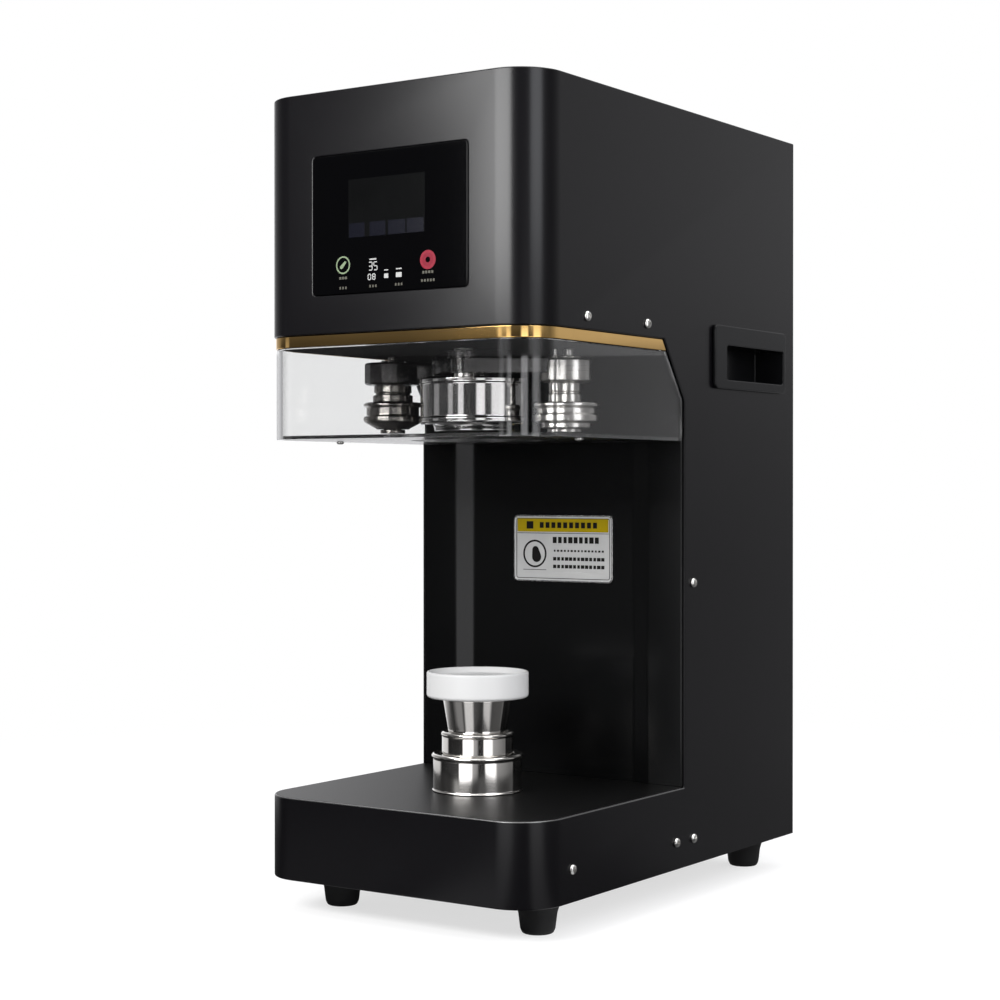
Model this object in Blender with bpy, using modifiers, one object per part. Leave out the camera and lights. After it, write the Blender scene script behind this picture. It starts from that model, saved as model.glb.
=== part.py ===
"""Table-top cup sealing machine: a C-shaped sheet-metal body, a powered lift with a cup tray,
and a seaming head whose two rollers orbit a fixed chuck behind a clear guard.

Metres, +Z up. The front faces -Y and +X is the right-hand side. The origin is at the bottom centre.
"""

import math

import bmesh
import bpy
from mathutils import Matrix, Vector

# ---------------------------------------------------------------- driving dimensions
# Body
BODY_WIDTH = 0.232
BODY_DEPTH = 0.370
FOOT_HEIGHT = 0.025
BASE_HEIGHT = 0.057
THROAT_HEIGHT = 0.310
TRIM_HEIGHT = 0.008
HEAD_HEIGHT = 0.165
CORNER_RADIUS = 0.031
SHEET = 0.002
THROAT_DEPTH = 0.1955
THROAT_SLOPE_RUN = 0.0295
THROAT_SLOPE_RISE = 0.042
REAR_FITTING_PROUD = 0.002

# Clearances
GAP = 0.0003
RUNNING_GAP = 0.0004
HOLE_GAP = 0.0003

# Feet
FOOT_TOP_RADIUS = 0.015
FOOT_BOTTOM_RADIUS = 0.0105
FOOT_SIDE_INSET = 0.033
FOOT_FRONT_INSET = 0.0545
FOOT_REAR_INSET = 0.021
FOOT_RECESS_RADIUS = 0.0045
FOOT_RECESS_DEPTH = 0.008
FOOT_TAPER_START = 0.86
FOOT_SOLE_FLARE = 0.001
FOOT_SOLE_HEIGHT = 0.0035
FOOT_EDGE_HEIGHT = 0.001
FOOT_EDGE_WIDTH = 0.0015

# Side screws: distance back from the front face, the level measured from, and height above it
SIDE_SCREWS = {
    "head_front": (0.0631, "head", 0.0088),
    "head_rear": (0.1417, "head", 0.0090),
    "column": (0.2070, "body", 0.2026),
    "base_front": (0.0448, "body", 0.0219),
    "base_middle": (0.1829, "body", 0.0194),
    "base_rear": (0.2077, "body", 0.0190),
}
SCREW_HEAD_RADIUS = 0.0035
SCREW_HEAD_HEIGHT = 0.0021
SCREW_SHANK_RADIUS = 0.0017
SCREW_SHANK_LENGTH = 0.0068
SCREW_SOCKET_RADIUS = 0.0014
SCREW_SOCKET_DEPTH = 0.0012
SCREW_HOLE_RADIUS = 0.0021
SCREW_CROWN_RADIUS_SHARE = 0.7
SCREW_CROWN_HEIGHT_SHARE = 0.85

# Trim band and clear guard
TRIM_INSET = 0.0011
TRIM_THICKNESS = 0.0016
GUARD_INSET = 0.0016
GUARD_WALL = 0.004
GUARD_HEIGHT = 0.063
GUARD_FLOOR_THICKNESS = 0.0025
GUARD_HOLE_RADIUS = 0.047
GUARD_REAR_GAP = 0.0012
GUARD_SCREW_SIDE_INSET = 0.014
GUARD_SCREW_SETBACK = 0.076
GUARD_SCREW_HEAD_RADIUS = 0.003
GUARD_SCREW_HEAD_HEIGHT = 0.0016
GUARD_SCREW_SHANK_RADIUS = 0.0015
GUARD_SCREW_TAPER = 0.8

# Head floor, base tray and deck
FLOOR_FLANGE_HEIGHT = 0.026
FLOOR_REAR_OVERLAP = 0.030
SPINDLE_HOLE_RADIUS = 0.024
DECK_REAR_OVERLAP = 0.030

# Column front panel
COLUMN_RECESS = 0.0046
COLUMN_RECESS_HALF_WIDTH = 0.071
COLUMN_SLANT_WIDTH = 0.014
COLUMN_RETURN = 0.024
COLUMN_SHEET = 0.0015

# Data plate on the column
PLATE_WIDTH = 0.0869
PLATE_HEIGHT = 0.0497
PLATE_THICKNESS = 0.0009
PLATE_CENTRE_X = 0.010
PLATE_ABOVE_DECK = 0.1685
PLATE_CORNER = 0.004

# Touch panel
PANEL_WIDTH = 0.1286
PANEL_HEIGHT = 0.094
PANEL_ABOVE_HEAD_BOTTOM = 0.0265
PANEL_THICKNESS = 0.0025
PANEL_PROUD = 0.0003
PANEL_CORNER = 0.0025
HOUSING_LIP = 0.005
HOUSING_DEPTH = 0.0135
HOUSING_WALL = 0.0025

# Flush pull handles, one on each side
HANDLE_SETBACK = 0.236
HANDLE_LENGTH = 0.114
HANDLE_HEIGHT = 0.0466
HANDLE_ABOVE_TRIM = 0.015
HANDLE_CORNER = 0.004
HANDLE_PROUD = 0.0027
HANDLE_LIP = 0.0028
HANDLE_DEPTH = 0.024
HANDLE_WALL = 0.002
HANDLE_MARGIN_FRONT = 0.018
HANDLE_MARGIN_REAR = 0.004
HANDLE_MARGIN_TOP = 0.0145
HANDLE_MARGIN_BOTTOM = 0.0069

# Power inlet and rocker switch, low on the rear cover
INLET_CENTRE_X = -0.070
INLET_ABOVE_BODY_BOTTOM = 0.045
INLET_WIDTH = 0.028
INLET_HEIGHT = 0.048
INLET_LIP = 0.0025
INLET_CORNER = 0.002
INLET_BODY_DEPTH = 0.022
SOCKET_WIDTH = 0.0235
SOCKET_HEIGHT = 0.0165
SOCKET_DEPTH = 0.015
SOCKET_DROP = 0.0105
ROCKER_WIDTH = 0.018
ROCKER_HALF_HEIGHT = 0.0062
ROCKER_WELL_HALF_HEIGHT = 0.0080
ROCKER_WELL_DEPTH = 0.009
ROCKER_RISE = 0.0120
ROCKER_DISH = 0.0015
ROCKER_TIP = 0.0033
ROCKER_BACK = 0.003
ROCKER_BACK_SHARE = 0.8
ROCKER_TILT_DEG = 8.0

# Seaming axis, shared by the lift and the turret: distance back from the front face
AXIS_SETBACK = 0.1035

# Lift
LIFT_TRAVEL = 0.085
COLLAR_RADIUS = 0.0314
COLLAR_RIM_RADIUS = 0.0325
COLLAR_HEIGHT = 0.0266
COLLAR_RIM_HEIGHT = 0.003
SLEEVE_RADIUS = 0.0257
SLEEVE_RISE = 0.0154
SLEEVE_WALL = 0.0044
SLEEVE_EDGE = 0.0015
COLLAR_SOCKET_WALL = 0.0025
PISTON_WALL = 0.003
PISTON_CONE_HEIGHT = 0.023
PISTON_TOP_RADIUS = 0.0245
NUT_HEIGHT = 0.010
LIFT_SCREW_RADIUS = 0.005
LIFT_SCREW_FLANGE_RADIUS = 0.009
LIFT_MOTOR_RADIUS = 0.029
LIFT_MOTOR_HEIGHT = 0.018
TRAY_RADIUS = 0.036
TRAY_HEIGHT = 0.019
TRAY_FOOT_RADIUS = 0.026
TRAY_RIM = 0.0028
TRAY_DISH = 0.004
TRAY_DISH_SLOPE = 0.0015
TRAY_RIM_DROP = 0.0004
TRAY_EDGE = 0.001
TRAY_SIDE_TAPER = 0.0004
TRAY_SIDE_BOTTOM = 0.004
TRAY_UNDERCUT_TOP = 0.0026
TRAY_UNDERCUT_WIDTH = 0.0016

# Seaming head: heights are measured down from the underside of the head floor
CHUCK_RADIUS = 0.0404
CHUCK_TOP_DROP = 0.019
CHUCK_BELL_DROP = 0.052
CHUCK_LIP_DROP = 0.0565
CHUCK_LIP_RADIUS = 0.030
CHUCK_EDGE = 0.001
CHUCK_BELL_EDGE = 0.0015
POST_RADIUS = 0.012
POST_NUT_RADIUS = 0.018
POST_NUT_HEIGHT = 0.007
POST_STAND_IN_NUTS = 1.6
HUB_RADIUS = 0.031
HUB_BOTTOM_DROP = 0.0177
HUB_TOP_DROP = 0.0025
HUB_EDGE = 0.001
EAR_THICKNESS = 0.005
EAR_HALF_WIDTH = 0.011
EAR_ROOT_HALF_WIDTH = 0.009
SPINDLE_RADIUS = 0.020
BEARING_RADIUS = 0.030
BEARING_HEIGHT = 0.012
BEARING_PROUD = 0.002
SPINDLE_ABOVE_GEAR = 0.002
HOUSING_RADIUS = 0.035
HOUSING_FLANGE_RADIUS = 0.046
HOUSING_FLANGE_HEIGHT = 0.006
SPINDLE_HOUSING_HEIGHT = 0.044

# Roller arms
ORBIT_RADIUS = 0.074
PIVOT_RADIUS = 0.050
PIVOT_ANGLE_DEG = 65.0
PIVOT_PIN_RADIUS = 0.004
PIVOT_HEAD_RADIUS = 0.0065
PIVOT_HEAD_HEIGHT = 0.003
ARM_TOP_DROP = 0.0083
ARM_BOTTOM_DROP = 0.0177
ARM_PIVOT_END_RADIUS = 0.0088
ARM_ROLLER_END_RADIUS = 0.011
STUD_RADIUS = 0.006
# Each side's boss radius, boss top and bottom drop, boss facets, neck radius, roller radius,
# and roller top and bottom drop
ROLLER_SIZES = {
    "left": (0.0205, 0.006, 0.022, 12, 0.016, 0.0212, 0.0345, 0.054),
    "right": (0.0154, 0.008, 0.024, 32, 0.0085, 0.0207, 0.038, 0.0554),
}
STUD_HEAD_RADIUS = 0.009
STUD_HEAD_HEIGHT = 0.0026
STUD_WASHER_RADIUS = 0.0085
STUD_WASHER_HEIGHT = 0.0015
STUD_TIP_RADIUS = 0.0032
STUD_TOP_DROP = 0.0012
ROLLER_GROOVE_DEPTH = 0.003
# Levels down a roller as shares of its height, and its bottom radius as a share of its radius
ROLLER_GROOVE_START = 0.16
ROLLER_GROOVE_TOP = 0.30
ROLLER_GROOVE_BOTTOM = 0.45
ROLLER_GROOVE_END = 0.58
ROLLER_CONE_START = 0.80
ROLLER_CONE_SHARE = 0.72

# Turret drive
GEAR_MODULE = 0.002
GEAR_TEETH = 72
PINION_TEETH = 18
GEAR_WIDTH = 0.010
TOOTH_ADDENDUM = 0.0017
TOOTH_DEDENDUM = 0.0023
TOOTH_THICKNESS = 0.0026
TOOTH_FLANK_DEG = 20.0
DRIVE_FRAME_HALF_WIDTH = 0.090
DRIVE_FRAME_HEIGHT = 0.062
DRIVE_FRAME_SHEET = 0.003
DRIVE_FRAME_FOOT = 0.014
DRIVE_FRAME_FRONT_REACH = 0.060
DRIVE_FRAME_REAR_REACH = 0.036
MOTOR_RADIUS = 0.030
MOTOR_HEIGHT = 0.070
MOTOR_EDGE = 0.002
MOTOR_SHAFT_RADIUS = 0.004
MOTOR_SHAFT_ENGAGEMENT = 0.018

# Control board on the inside of the rear cover
BOARD_WIDTH = 0.120
BOARD_HEIGHT = 0.160
BOARD_THICKNESS = 0.0016
BOARD_STANDOFF = 0.018
BOARD_STANDOFF_RADIUS = 0.004
BOARD_ABOVE_BODY_BOTTOM = 0.150
BOARD_EDGE = 0.010
# Tall components: name, middle across the board, middle up the board, width, height and depth
BOARD_COMPONENTS = (
    ("transformer", -0.030, 0.035, 0.040, 0.036, 0.030),
    ("capacitors", 0.028, 0.034, 0.034, 0.022, 0.025),
    ("relays", 0.000, 0.105, 0.070, 0.020, 0.016),
)

# Vent slots in the rear cover
VENT_COUNT = 9
VENT_PITCH = 0.014
VENT_WIDTH = 0.005
VENT_HEIGHT = 0.060
VENT_BELOW_TOP = 0.040
VENT_CORNER_SHARE = 0.45

# Facets round each kind of turned piece
ROUND_STEPS = 32
CHUCK_STEPS = 40
MEDIUM_STEPS = 24
FOOT_STEPS = 20
SHAFT_STEPS = 16
SMALL_STEPS = 12
STANDOFF_STEPS = 8
CORNER_STEPS = 6

# ---------------------------------------------------------------- derived places
HALF_WIDTH = BODY_WIDTH / 2
CUTTER_REACH = HALF_WIDTH * 1.2
FRONT_Y = -(BODY_DEPTH + REAR_FITTING_PROUD) / 2
REAR_Y = FRONT_Y + BODY_DEPTH
BODY_BOTTOM_Z = FOOT_HEIGHT
DECK_Z = BODY_BOTTOM_Z + BASE_HEIGHT
TRIM_Z = DECK_Z + THROAT_HEIGHT
HEAD_Z = TRIM_Z + TRIM_HEIGHT
TOP_Z = HEAD_Z + HEAD_HEIGHT
THROAT_Y = FRONT_Y + THROAT_DEPTH
AXIS_Y = FRONT_Y + AXIS_SETBACK
LINING = SHEET + GAP
FLOOR_INSET = TRIM_INSET + TRIM_THICKNESS + GAP
FLOOR_TOP_Z = TRIM_Z + SHEET
GUARD_BOTTOM_Z = TRIM_Z - GUARD_HEIGHT
COLUMN_Y = THROAT_Y + GAP
PITCH_RADIUS = GEAR_MODULE * GEAR_TEETH / 2
PINION_PITCH_RADIUS = GEAR_MODULE * PINION_TEETH / 2
MOTOR_Y = AXIS_Y + PITCH_RADIUS + PINION_PITCH_RADIUS
SPINDLE_BORE = POST_RADIUS + RUNNING_GAP
HOUSING_BOTTOM_Z = FLOOR_TOP_Z + GAP
UPPER_BEARING_TOP_Z = HOUSING_BOTTOM_Z + SPINDLE_HOUSING_HEIGHT + BEARING_PROUD
GEAR_BOTTOM_Z = UPPER_BEARING_TOP_Z + GAP
GEAR_TOP_Z = GEAR_BOTTOM_Z + GEAR_WIDTH
SPINDLE_TOP_Z = GEAR_TOP_Z + SPINDLE_ABOVE_GEAR
FRAME_TOP_Z = FLOOR_TOP_Z + GAP + DRIVE_FRAME_HEIGHT

COLLECTION = bpy.data.collections.new("cup_sealing_machine")
CUTTERS = bpy.data.collections.new("cutters")

BLACK = ((0.018, 0.018, 0.020), 0.35, 0.42)
GOLD = ((0.62, 0.40, 0.14), 1.0, 0.30)
CLEAR = ((0.85, 0.87, 0.88), 0.0, 0.05)
GLASS = ((0.004, 0.004, 0.005), 0.0, 0.06)
STEEL = ((0.62, 0.61, 0.59), 1.0, 0.18)
DARK_STEEL = ((0.12, 0.12, 0.12), 1.0, 0.32)
ZINC = ((0.45, 0.45, 0.45), 1.0, 0.38)
RUBBER = ((0.015, 0.015, 0.015), 0.0, 0.75)
WHITE = ((0.86, 0.86, 0.85), 0.0, 0.45)
GLOSS_BLACK = ((0.010, 0.010, 0.011), 0.0, 0.16)
PLATE = ((0.55, 0.55, 0.55), 0.6, 0.35)
CIRCUIT = ((0.03, 0.16, 0.08), 0.0, 0.45)


# ---------------------------------------------------------------- modelling helpers
def clear_scene():
    for old in list(bpy.data.objects):
        bpy.data.objects.remove(old, do_unlink=True)


def finish(obj, look, smooth=False):
    """Gives a piece its own material and shading, and puts it in the machine's collection."""
    colour, metallic, roughness = look
    material = bpy.data.materials.new(obj.name)
    material.use_nodes = True
    shader = material.node_tree.nodes["Principled BSDF"]
    shader.inputs["Base Color"].default_value = (*colour, 1.0)
    shader.inputs["Metallic"].default_value = metallic
    shader.inputs["Roughness"].default_value = roughness
    obj.data.materials.clear()
    obj.data.materials.append(material)
    if smooth:
        obj.data.shade_smooth()
    COLLECTION.objects.link(obj)
    return obj


def as_cutter(obj):
    obj.hide_render = True
    obj.display_type = "WIRE"
    CUTTERS.objects.link(obj)
    return obj


def boolean(obj, tool, operation="DIFFERENCE"):
    modifier = obj.modifiers.new(tool.name, "BOOLEAN")
    modifier.operation = operation
    modifier.solver = "EXACT"
    modifier.object = tool
    return modifier


def circle(centre, radius, steps, start=0.0):
    return [
        (
            centre[0] + radius * math.cos(start + 2 * math.pi * i / steps),
            centre[1] + radius * math.sin(start + 2 * math.pi * i / steps),
        )
        for i in range(steps)
    ]


def arc(centre, radius, start_deg, end_deg, steps):
    return [
        (
            centre[0] + radius * math.cos(math.radians(start_deg + (end_deg - start_deg) * i / steps)),
            centre[1] + radius * math.sin(math.radians(start_deg + (end_deg - start_deg) * i / steps)),
        )
        for i in range(steps + 1)
    ]


def rounded_rectangle(low, high, radius, steps=3):
    corners = (
        ((high[0] - radius, high[1] - radius), 0),
        ((low[0] + radius, high[1] - radius), 90),
        ((low[0] + radius, low[1] + radius), 180),
        ((high[0] - radius, low[1] + radius), 270),
    )
    points = []
    for centre, angle in corners:
        points += arc(centre, radius, angle, angle + 90, steps)
    return points


def rectangle(low, high):
    return [low, (high[0], low[1]), high, (low[0], high[1])]


def capsule(start, end, start_radius, end_radius, steps=8):
    """A bar with round ends, as an outline."""
    angle = math.degrees(math.atan2(end[1] - start[1], end[0] - start[0]))
    length = math.dist(start, end)
    lean = math.degrees(math.asin((start_radius - end_radius) / length))
    around_end = arc(end, end_radius, angle - 90 + lean, angle + 90 - lean, steps)
    around_start = arc(start, start_radius, angle + 90 - lean, angle + 270 + lean, steps)
    return around_end + around_start


def flat_mesh(name, outlines, low, high, plane="XY"):
    """A flat piece: its outline and holes as a filled 2D curve, extruded and made a mesh."""
    curve = bpy.data.curves.new(name, "CURVE")
    curve.dimensions = "2D"
    curve.fill_mode = "BOTH"
    curve.extrude = (high - low) / 2
    for outline in outlines:
        spline = curve.splines.new("POLY")
        spline.points.add(len(outline) - 1)
        for point, (a, b) in zip(spline.points, outline):
            point.co = (a, b, 0.0, 1.0)
        spline.use_cyclic_u = True
    source = bpy.data.objects.new(name + "_outline", curve)
    bpy.context.scene.collection.objects.link(source)
    graph = bpy.context.evaluated_depsgraph_get()
    mesh = bpy.data.meshes.new_from_object(source.evaluated_get(graph))
    mesh.name = name
    bpy.data.objects.remove(source)
    turn = {
        "XY": Matrix.Identity(4),
        "YZ": Matrix(((0, 0, 1, 0), (1, 0, 0, 0), (0, 1, 0, 0), (0, 0, 0, 1))),
        "XZ": Matrix(((1, 0, 0, 0), (0, 0, 1, 0), (0, 1, 0, 0), (0, 0, 0, 1))),
    }[plane]
    form = bmesh.new()
    form.from_mesh(mesh)
    bmesh.ops.remove_doubles(form, verts=form.verts, dist=1e-6)
    bmesh.ops.translate(form, verts=form.verts, vec=(0, 0, (high + low) / 2))
    bmesh.ops.transform(form, matrix=turn, verts=form.verts)
    bmesh.ops.recalc_face_normals(form, faces=form.faces)
    form.to_mesh(mesh)
    form.free()
    return mesh


def flat_object(name, outlines, low, high, plane="XY"):
    return bpy.data.objects.new(name, flat_mesh(name, outlines, low, high, plane))


def box_object(name, low, high):
    form = bmesh.new()
    bmesh.ops.create_cube(form, size=1.0)
    size = Vector(high) - Vector(low)
    bmesh.ops.scale(form, vec=size, verts=form.verts)
    bmesh.ops.translate(form, vec=(Vector(high) + Vector(low)) / 2, verts=form.verts)
    mesh = bpy.data.meshes.new(name)
    form.to_mesh(mesh)
    form.free()
    return bpy.data.objects.new(name, mesh)


def turned_object(name, profile, place, steps=ROUND_STEPS, closed=False):
    """A turned piece: (radius, height) points run down the outside; a closed profile has a bore."""
    mesh = bpy.data.meshes.new(name)
    points = [(radius, 0.0, height) for radius, height in profile]
    edges = [(i, i + 1) for i in range(len(points) - 1)]
    if closed:
        edges.append((len(points) - 1, 0))
    mesh.from_pydata(points, edges, [])
    obj = bpy.data.objects.new(name, mesh)
    obj.location = (place[0], place[1], 0.0)
    screw = obj.modifiers.new("turn", "SCREW")
    screw.axis = "Z"
    screw.steps = steps
    screw.render_steps = steps
    screw.use_merge_vertices = True
    screw.merge_threshold = 0.00001
    screw.use_smooth_shade = True
    return obj


def tube_profile(outer, inner, low, high):
    return [(inner, high), (outer, high), (outer, low), (inner, low)]


def folded_sheet(name, path, low, high, thickness, along="Z"):
    """A folded sheet: an open path swept straight, thickened on its right-hand side."""
    place = {
        "Z": lambda a, b, s: (a, b, s),
        "Y": lambda a, b, s: (a, s, b),
    }[along]
    form = bmesh.new()
    rows = [[form.verts.new(place(a, b, s)) for a, b in path] for s in (low, high)]
    for i in range(len(path) - 1):
        form.faces.new((rows[0][i], rows[0][i + 1], rows[1][i + 1], rows[1][i]))
    mesh = bpy.data.meshes.new(name)
    form.to_mesh(mesh)
    form.free()
    obj = bpy.data.objects.new(name, mesh)
    wall = obj.modifiers.new("thickness", "SOLIDIFY")
    wall.thickness = thickness
    wall.offset = -1.0
    wall.use_even_offset = True
    return obj


def wrap_path(inset, rear_y):
    """The U of a wall that wraps the front, seen from above, from the left rear to the right rear."""
    x = HALF_WIDTH - inset
    y = FRONT_Y + inset
    radius = CORNER_RADIUS - inset
    left = arc((-x + radius, y + radius), radius, 180, 270, CORNER_STEPS)
    right = arc((x - radius, y + radius), radius, 270, 360, CORNER_STEPS)
    return [(-x, rear_y)] + left + right + [(x, rear_y)]


# ---------------------------------------------------------------- cutters used by several pieces
def side_screw_places():
    """Name, Y and Z of each side screw."""
    levels = {"head": HEAD_Z, "body": BODY_BOTTOM_Z}
    return [
        (name, FRONT_Y + setback, levels[level] + height)
        for name, (setback, level, height) in SIDE_SCREWS.items()
    ]


def screw_hole_cutter():
    """One bar through both sides for each side screw."""
    form = bmesh.new()
    for _, y, z in side_screw_places():
        place = Matrix.Translation((0.0, y, z))
        bmesh.ops.create_cone(
            form,
            cap_ends=True,
            segments=SMALL_STEPS,
            radius1=SCREW_HOLE_RADIUS,
            radius2=SCREW_HOLE_RADIUS,
            depth=2 * CUTTER_REACH,
            matrix=place @ Matrix.Rotation(math.pi / 2, 4, "Y"),
        )
    mesh = bpy.data.meshes.new("screw_holes")
    form.to_mesh(mesh)
    form.free()
    return as_cutter(bpy.data.objects.new("screw_holes", mesh))


def throat_outline(rear_shift, top_z, bottom_z):
    """The side view of the open throat, with its sloping upper rear edge."""
    front = FRONT_Y - CORNER_RADIUS
    slope_end_z = HEAD_Z - THROAT_SLOPE_RISE
    lean = THROAT_SLOPE_RUN / THROAT_SLOPE_RISE
    top_y = THROAT_Y - (top_z - slope_end_z) * lean
    return [
        (front, bottom_z),
        (THROAT_Y + rear_shift, bottom_z),
        (THROAT_Y + rear_shift, slope_end_z),
        (top_y + rear_shift, top_z),
        (front, top_z),
    ]


# ---------------------------------------------------------------- body
def make_body(screw_holes):
    shell = folded_sheet("outer_shell", wrap_path(0.0, REAR_Y), BODY_BOTTOM_Z, TOP_Z, SHEET)
    throat = flat_object(
        "throat", [throat_outline(0.0, HEAD_Z, DECK_Z)], -CUTTER_REACH, CUTTER_REACH, "YZ"
    )
    boolean(shell, as_cutter(throat))

    panel_low_z = HEAD_Z + PANEL_ABOVE_HEAD_BOTTOM
    window = flat_object(
        "panel_window",
        [
            rounded_rectangle(
                (-PANEL_WIDTH / 2 - GAP, panel_low_z - GAP),
                (PANEL_WIDTH / 2 + GAP, panel_low_z + PANEL_HEIGHT + GAP),
                PANEL_CORNER + GAP,
            )
        ],
        FRONT_Y - CORNER_RADIUS,
        FRONT_Y + CORNER_RADIUS / 2,
        "XZ",
    )
    boolean(shell, as_cutter(window))

    front, rear, low, high = handle_limits()
    handle_window = box_object(
        "handle_window",
        (-CUTTER_REACH, front + HANDLE_LIP, low + HANDLE_LIP),
        (CUTTER_REACH, rear - HANDLE_LIP / 2, high - HANDLE_LIP),
    )
    boolean(shell, as_cutter(handle_window))
    boolean(shell, screw_holes)
    finish(shell, BLACK)

    cover_outline = wrap_path(LINING, REAR_Y)
    finish(flat_object("top_cover", [cover_outline], TOP_Z - SHEET, TOP_Z), BLACK)

    deck_outline = wrap_path(LINING, THROAT_Y + DECK_REAR_OVERLAP)
    collar_hole = circle((0.0, AXIS_Y), collar_socket_radius() + HOLE_GAP, ROUND_STEPS)
    finish(flat_object("base_deck", [deck_outline, collar_hole], DECK_Z - SHEET, DECK_Z), BLACK)

    make_base_tray(screw_holes)
    make_head_floor(screw_holes)
    make_column_panel(screw_holes)
    make_rear_cover()


def lining_prism(name, inset, rear_y, low, high):
    return as_cutter(flat_object(name, [wrap_path(inset, rear_y)], low, high))


def make_base_tray(screw_holes):
    """The bottom plate, folded up at both sides to carry the deck."""
    x = HALF_WIDTH - LINING
    top = DECK_Z - SHEET - GAP
    fold = [(x, top), (x, BODY_BOTTOM_Z), (-x, BODY_BOTTOM_Z), (-x, top)]
    rear = REAR_Y - LINING
    tray = folded_sheet("bottom_plate", fold, FRONT_Y + LINING, rear, SHEET, along="Y")
    outline = lining_prism("base_lining", LINING, rear + SHEET, BODY_BOTTOM_Z - SHEET, DECK_Z)
    boolean(tray, outline, "INTERSECT")
    boolean(tray, screw_holes)
    finish(tray, BLACK)


def make_head_floor(screw_holes):
    """The floor of the head, folded up at both sides, with the round opening for the spindle."""
    x = HALF_WIDTH - FLOOR_INSET
    top = TRIM_Z + FLOOR_FLANGE_HEIGHT
    fold = [(x, top), (x, TRIM_Z), (-x, TRIM_Z), (-x, top)]
    rear = THROAT_Y + FLOOR_REAR_OVERLAP
    floor = folded_sheet("head_floor_plate", fold, FRONT_Y + FLOOR_INSET, rear, SHEET, along="Y")
    outline = lining_prism("head_lining", FLOOR_INSET, rear + SHEET, TRIM_Z - SHEET, top + SHEET)
    boolean(floor, outline, "INTERSECT")
    opening = flat_object(
        "spindle_opening",
        [circle((0.0, AXIS_Y), SPINDLE_HOLE_RADIUS, ROUND_STEPS)],
        TRIM_Z - SHEET,
        TRIM_Z + 2 * SHEET,
    )
    boolean(floor, as_cutter(opening))
    boolean(floor, screw_holes)
    finish(floor, ZINC)


def make_column_panel(screw_holes):
    x = HALF_WIDTH - LINING
    step = COLUMN_RECESS_HALF_WIDTH
    slant = step + COLUMN_SLANT_WIDTH
    rear = COLUMN_Y + COLUMN_RETURN
    path = [
        (-x, rear),
        (-x, COLUMN_Y),
        (-slant, COLUMN_Y),
        (-step, COLUMN_Y + COLUMN_RECESS),
        (step, COLUMN_Y + COLUMN_RECESS),
        (slant, COLUMN_Y),
        (x, COLUMN_Y),
        (x, rear),
    ]
    panel = folded_sheet("column_front_panel", path, DECK_Z + GAP, TRIM_Z - GAP, COLUMN_SHEET)
    boolean(panel, screw_holes)
    finish(panel, BLACK)


def make_rear_cover():
    x = HALF_WIDTH - LINING
    outlines = [rectangle((-x, BODY_BOTTOM_Z), (x, TOP_Z - SHEET - GAP))]
    z = BODY_BOTTOM_Z + INLET_ABOVE_BODY_BOTTOM
    half_width = INLET_WIDTH / 2 - INLET_LIP + GAP
    half_height = INLET_HEIGHT / 2 - INLET_LIP + GAP
    outlines.append(
        rectangle(
            (INLET_CENTRE_X - half_width, z - half_height),
            (INLET_CENTRE_X + half_width, z + half_height),
        )
    )
    vent_top = TOP_Z - VENT_BELOW_TOP
    for i in range(VENT_COUNT):
        vent_x = (i - (VENT_COUNT - 1) / 2) * VENT_PITCH
        outlines.append(
            rounded_rectangle(
                (vent_x - VENT_WIDTH / 2, vent_top - VENT_HEIGHT),
                (vent_x + VENT_WIDTH / 2, vent_top),
                VENT_WIDTH * VENT_CORNER_SHARE,
                steps=2,
            )
        )
    finish(flat_object("rear_cover", outlines, REAR_Y - SHEET, REAR_Y, "XZ"), BLACK)


# ---------------------------------------------------------------- trim band and guard
def make_guard():
    slope = throat_outline(-GUARD_REAR_GAP, HEAD_Z, GUARD_BOTTOM_Z - SHEET)
    slope_tool = as_cutter(
        flat_object("guard_side_view", [slope], -CUTTER_REACH, CUTTER_REACH, "YZ")
    )
    rear = THROAT_Y + CORNER_RADIUS

    band = folded_sheet(
        "gold_trim_band", wrap_path(TRIM_INSET, rear), TRIM_Z, HEAD_Z - GAP, TRIM_THICKNESS
    )
    boolean(band, slope_tool, "INTERSECT")
    finish(band, GOLD)

    guard = folded_sheet(
        "guard_shell", wrap_path(GUARD_INSET, rear), GUARD_BOTTOM_Z, TRIM_Z - GAP, GUARD_WALL
    )
    boolean(guard, slope_tool, "INTERSECT")
    finish(guard, CLEAR)

    floor_outline = wrap_path(GUARD_INSET + GUARD_WALL + GAP, THROAT_Y - GUARD_REAR_GAP)
    holes = [circle((0.0, AXIS_Y), GUARD_HOLE_RADIUS, ROUND_STEPS)]
    screw_x = HALF_WIDTH - GUARD_SCREW_SIDE_INSET
    screw_y = FRONT_Y + GUARD_SCREW_SETBACK
    for side in (-1, 1):
        holes.append(
            circle((side * screw_x, screw_y), GUARD_SCREW_SHANK_RADIUS + HOLE_GAP, SMALL_STEPS)
        )
    floor = flat_object(
        "guard_bottom_plate",
        [floor_outline] + holes,
        GUARD_BOTTOM_Z,
        GUARD_BOTTOM_Z + GUARD_FLOOR_THICKNESS,
    )
    finish(floor, CLEAR)

    head_top = GUARD_BOTTOM_Z - GAP
    head_bottom = head_top - GUARD_SCREW_HEAD_HEIGHT
    profile = [
        (0.0, GUARD_BOTTOM_Z + GUARD_FLOOR_THICKNESS),
        (GUARD_SCREW_SHANK_RADIUS, GUARD_BOTTOM_Z + GUARD_FLOOR_THICKNESS),
        (GUARD_SCREW_SHANK_RADIUS, head_top),
        (GUARD_SCREW_HEAD_RADIUS, head_top),
        (GUARD_SCREW_HEAD_RADIUS * GUARD_SCREW_TAPER, head_bottom),
        (0.0, head_bottom),
    ]
    for name, side in (("guard_screw_left", -1), ("guard_screw_right", 1)):
        screw = turned_object(name, profile, (side * screw_x, screw_y), SMALL_STEPS)
        finish(screw, STEEL)


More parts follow.
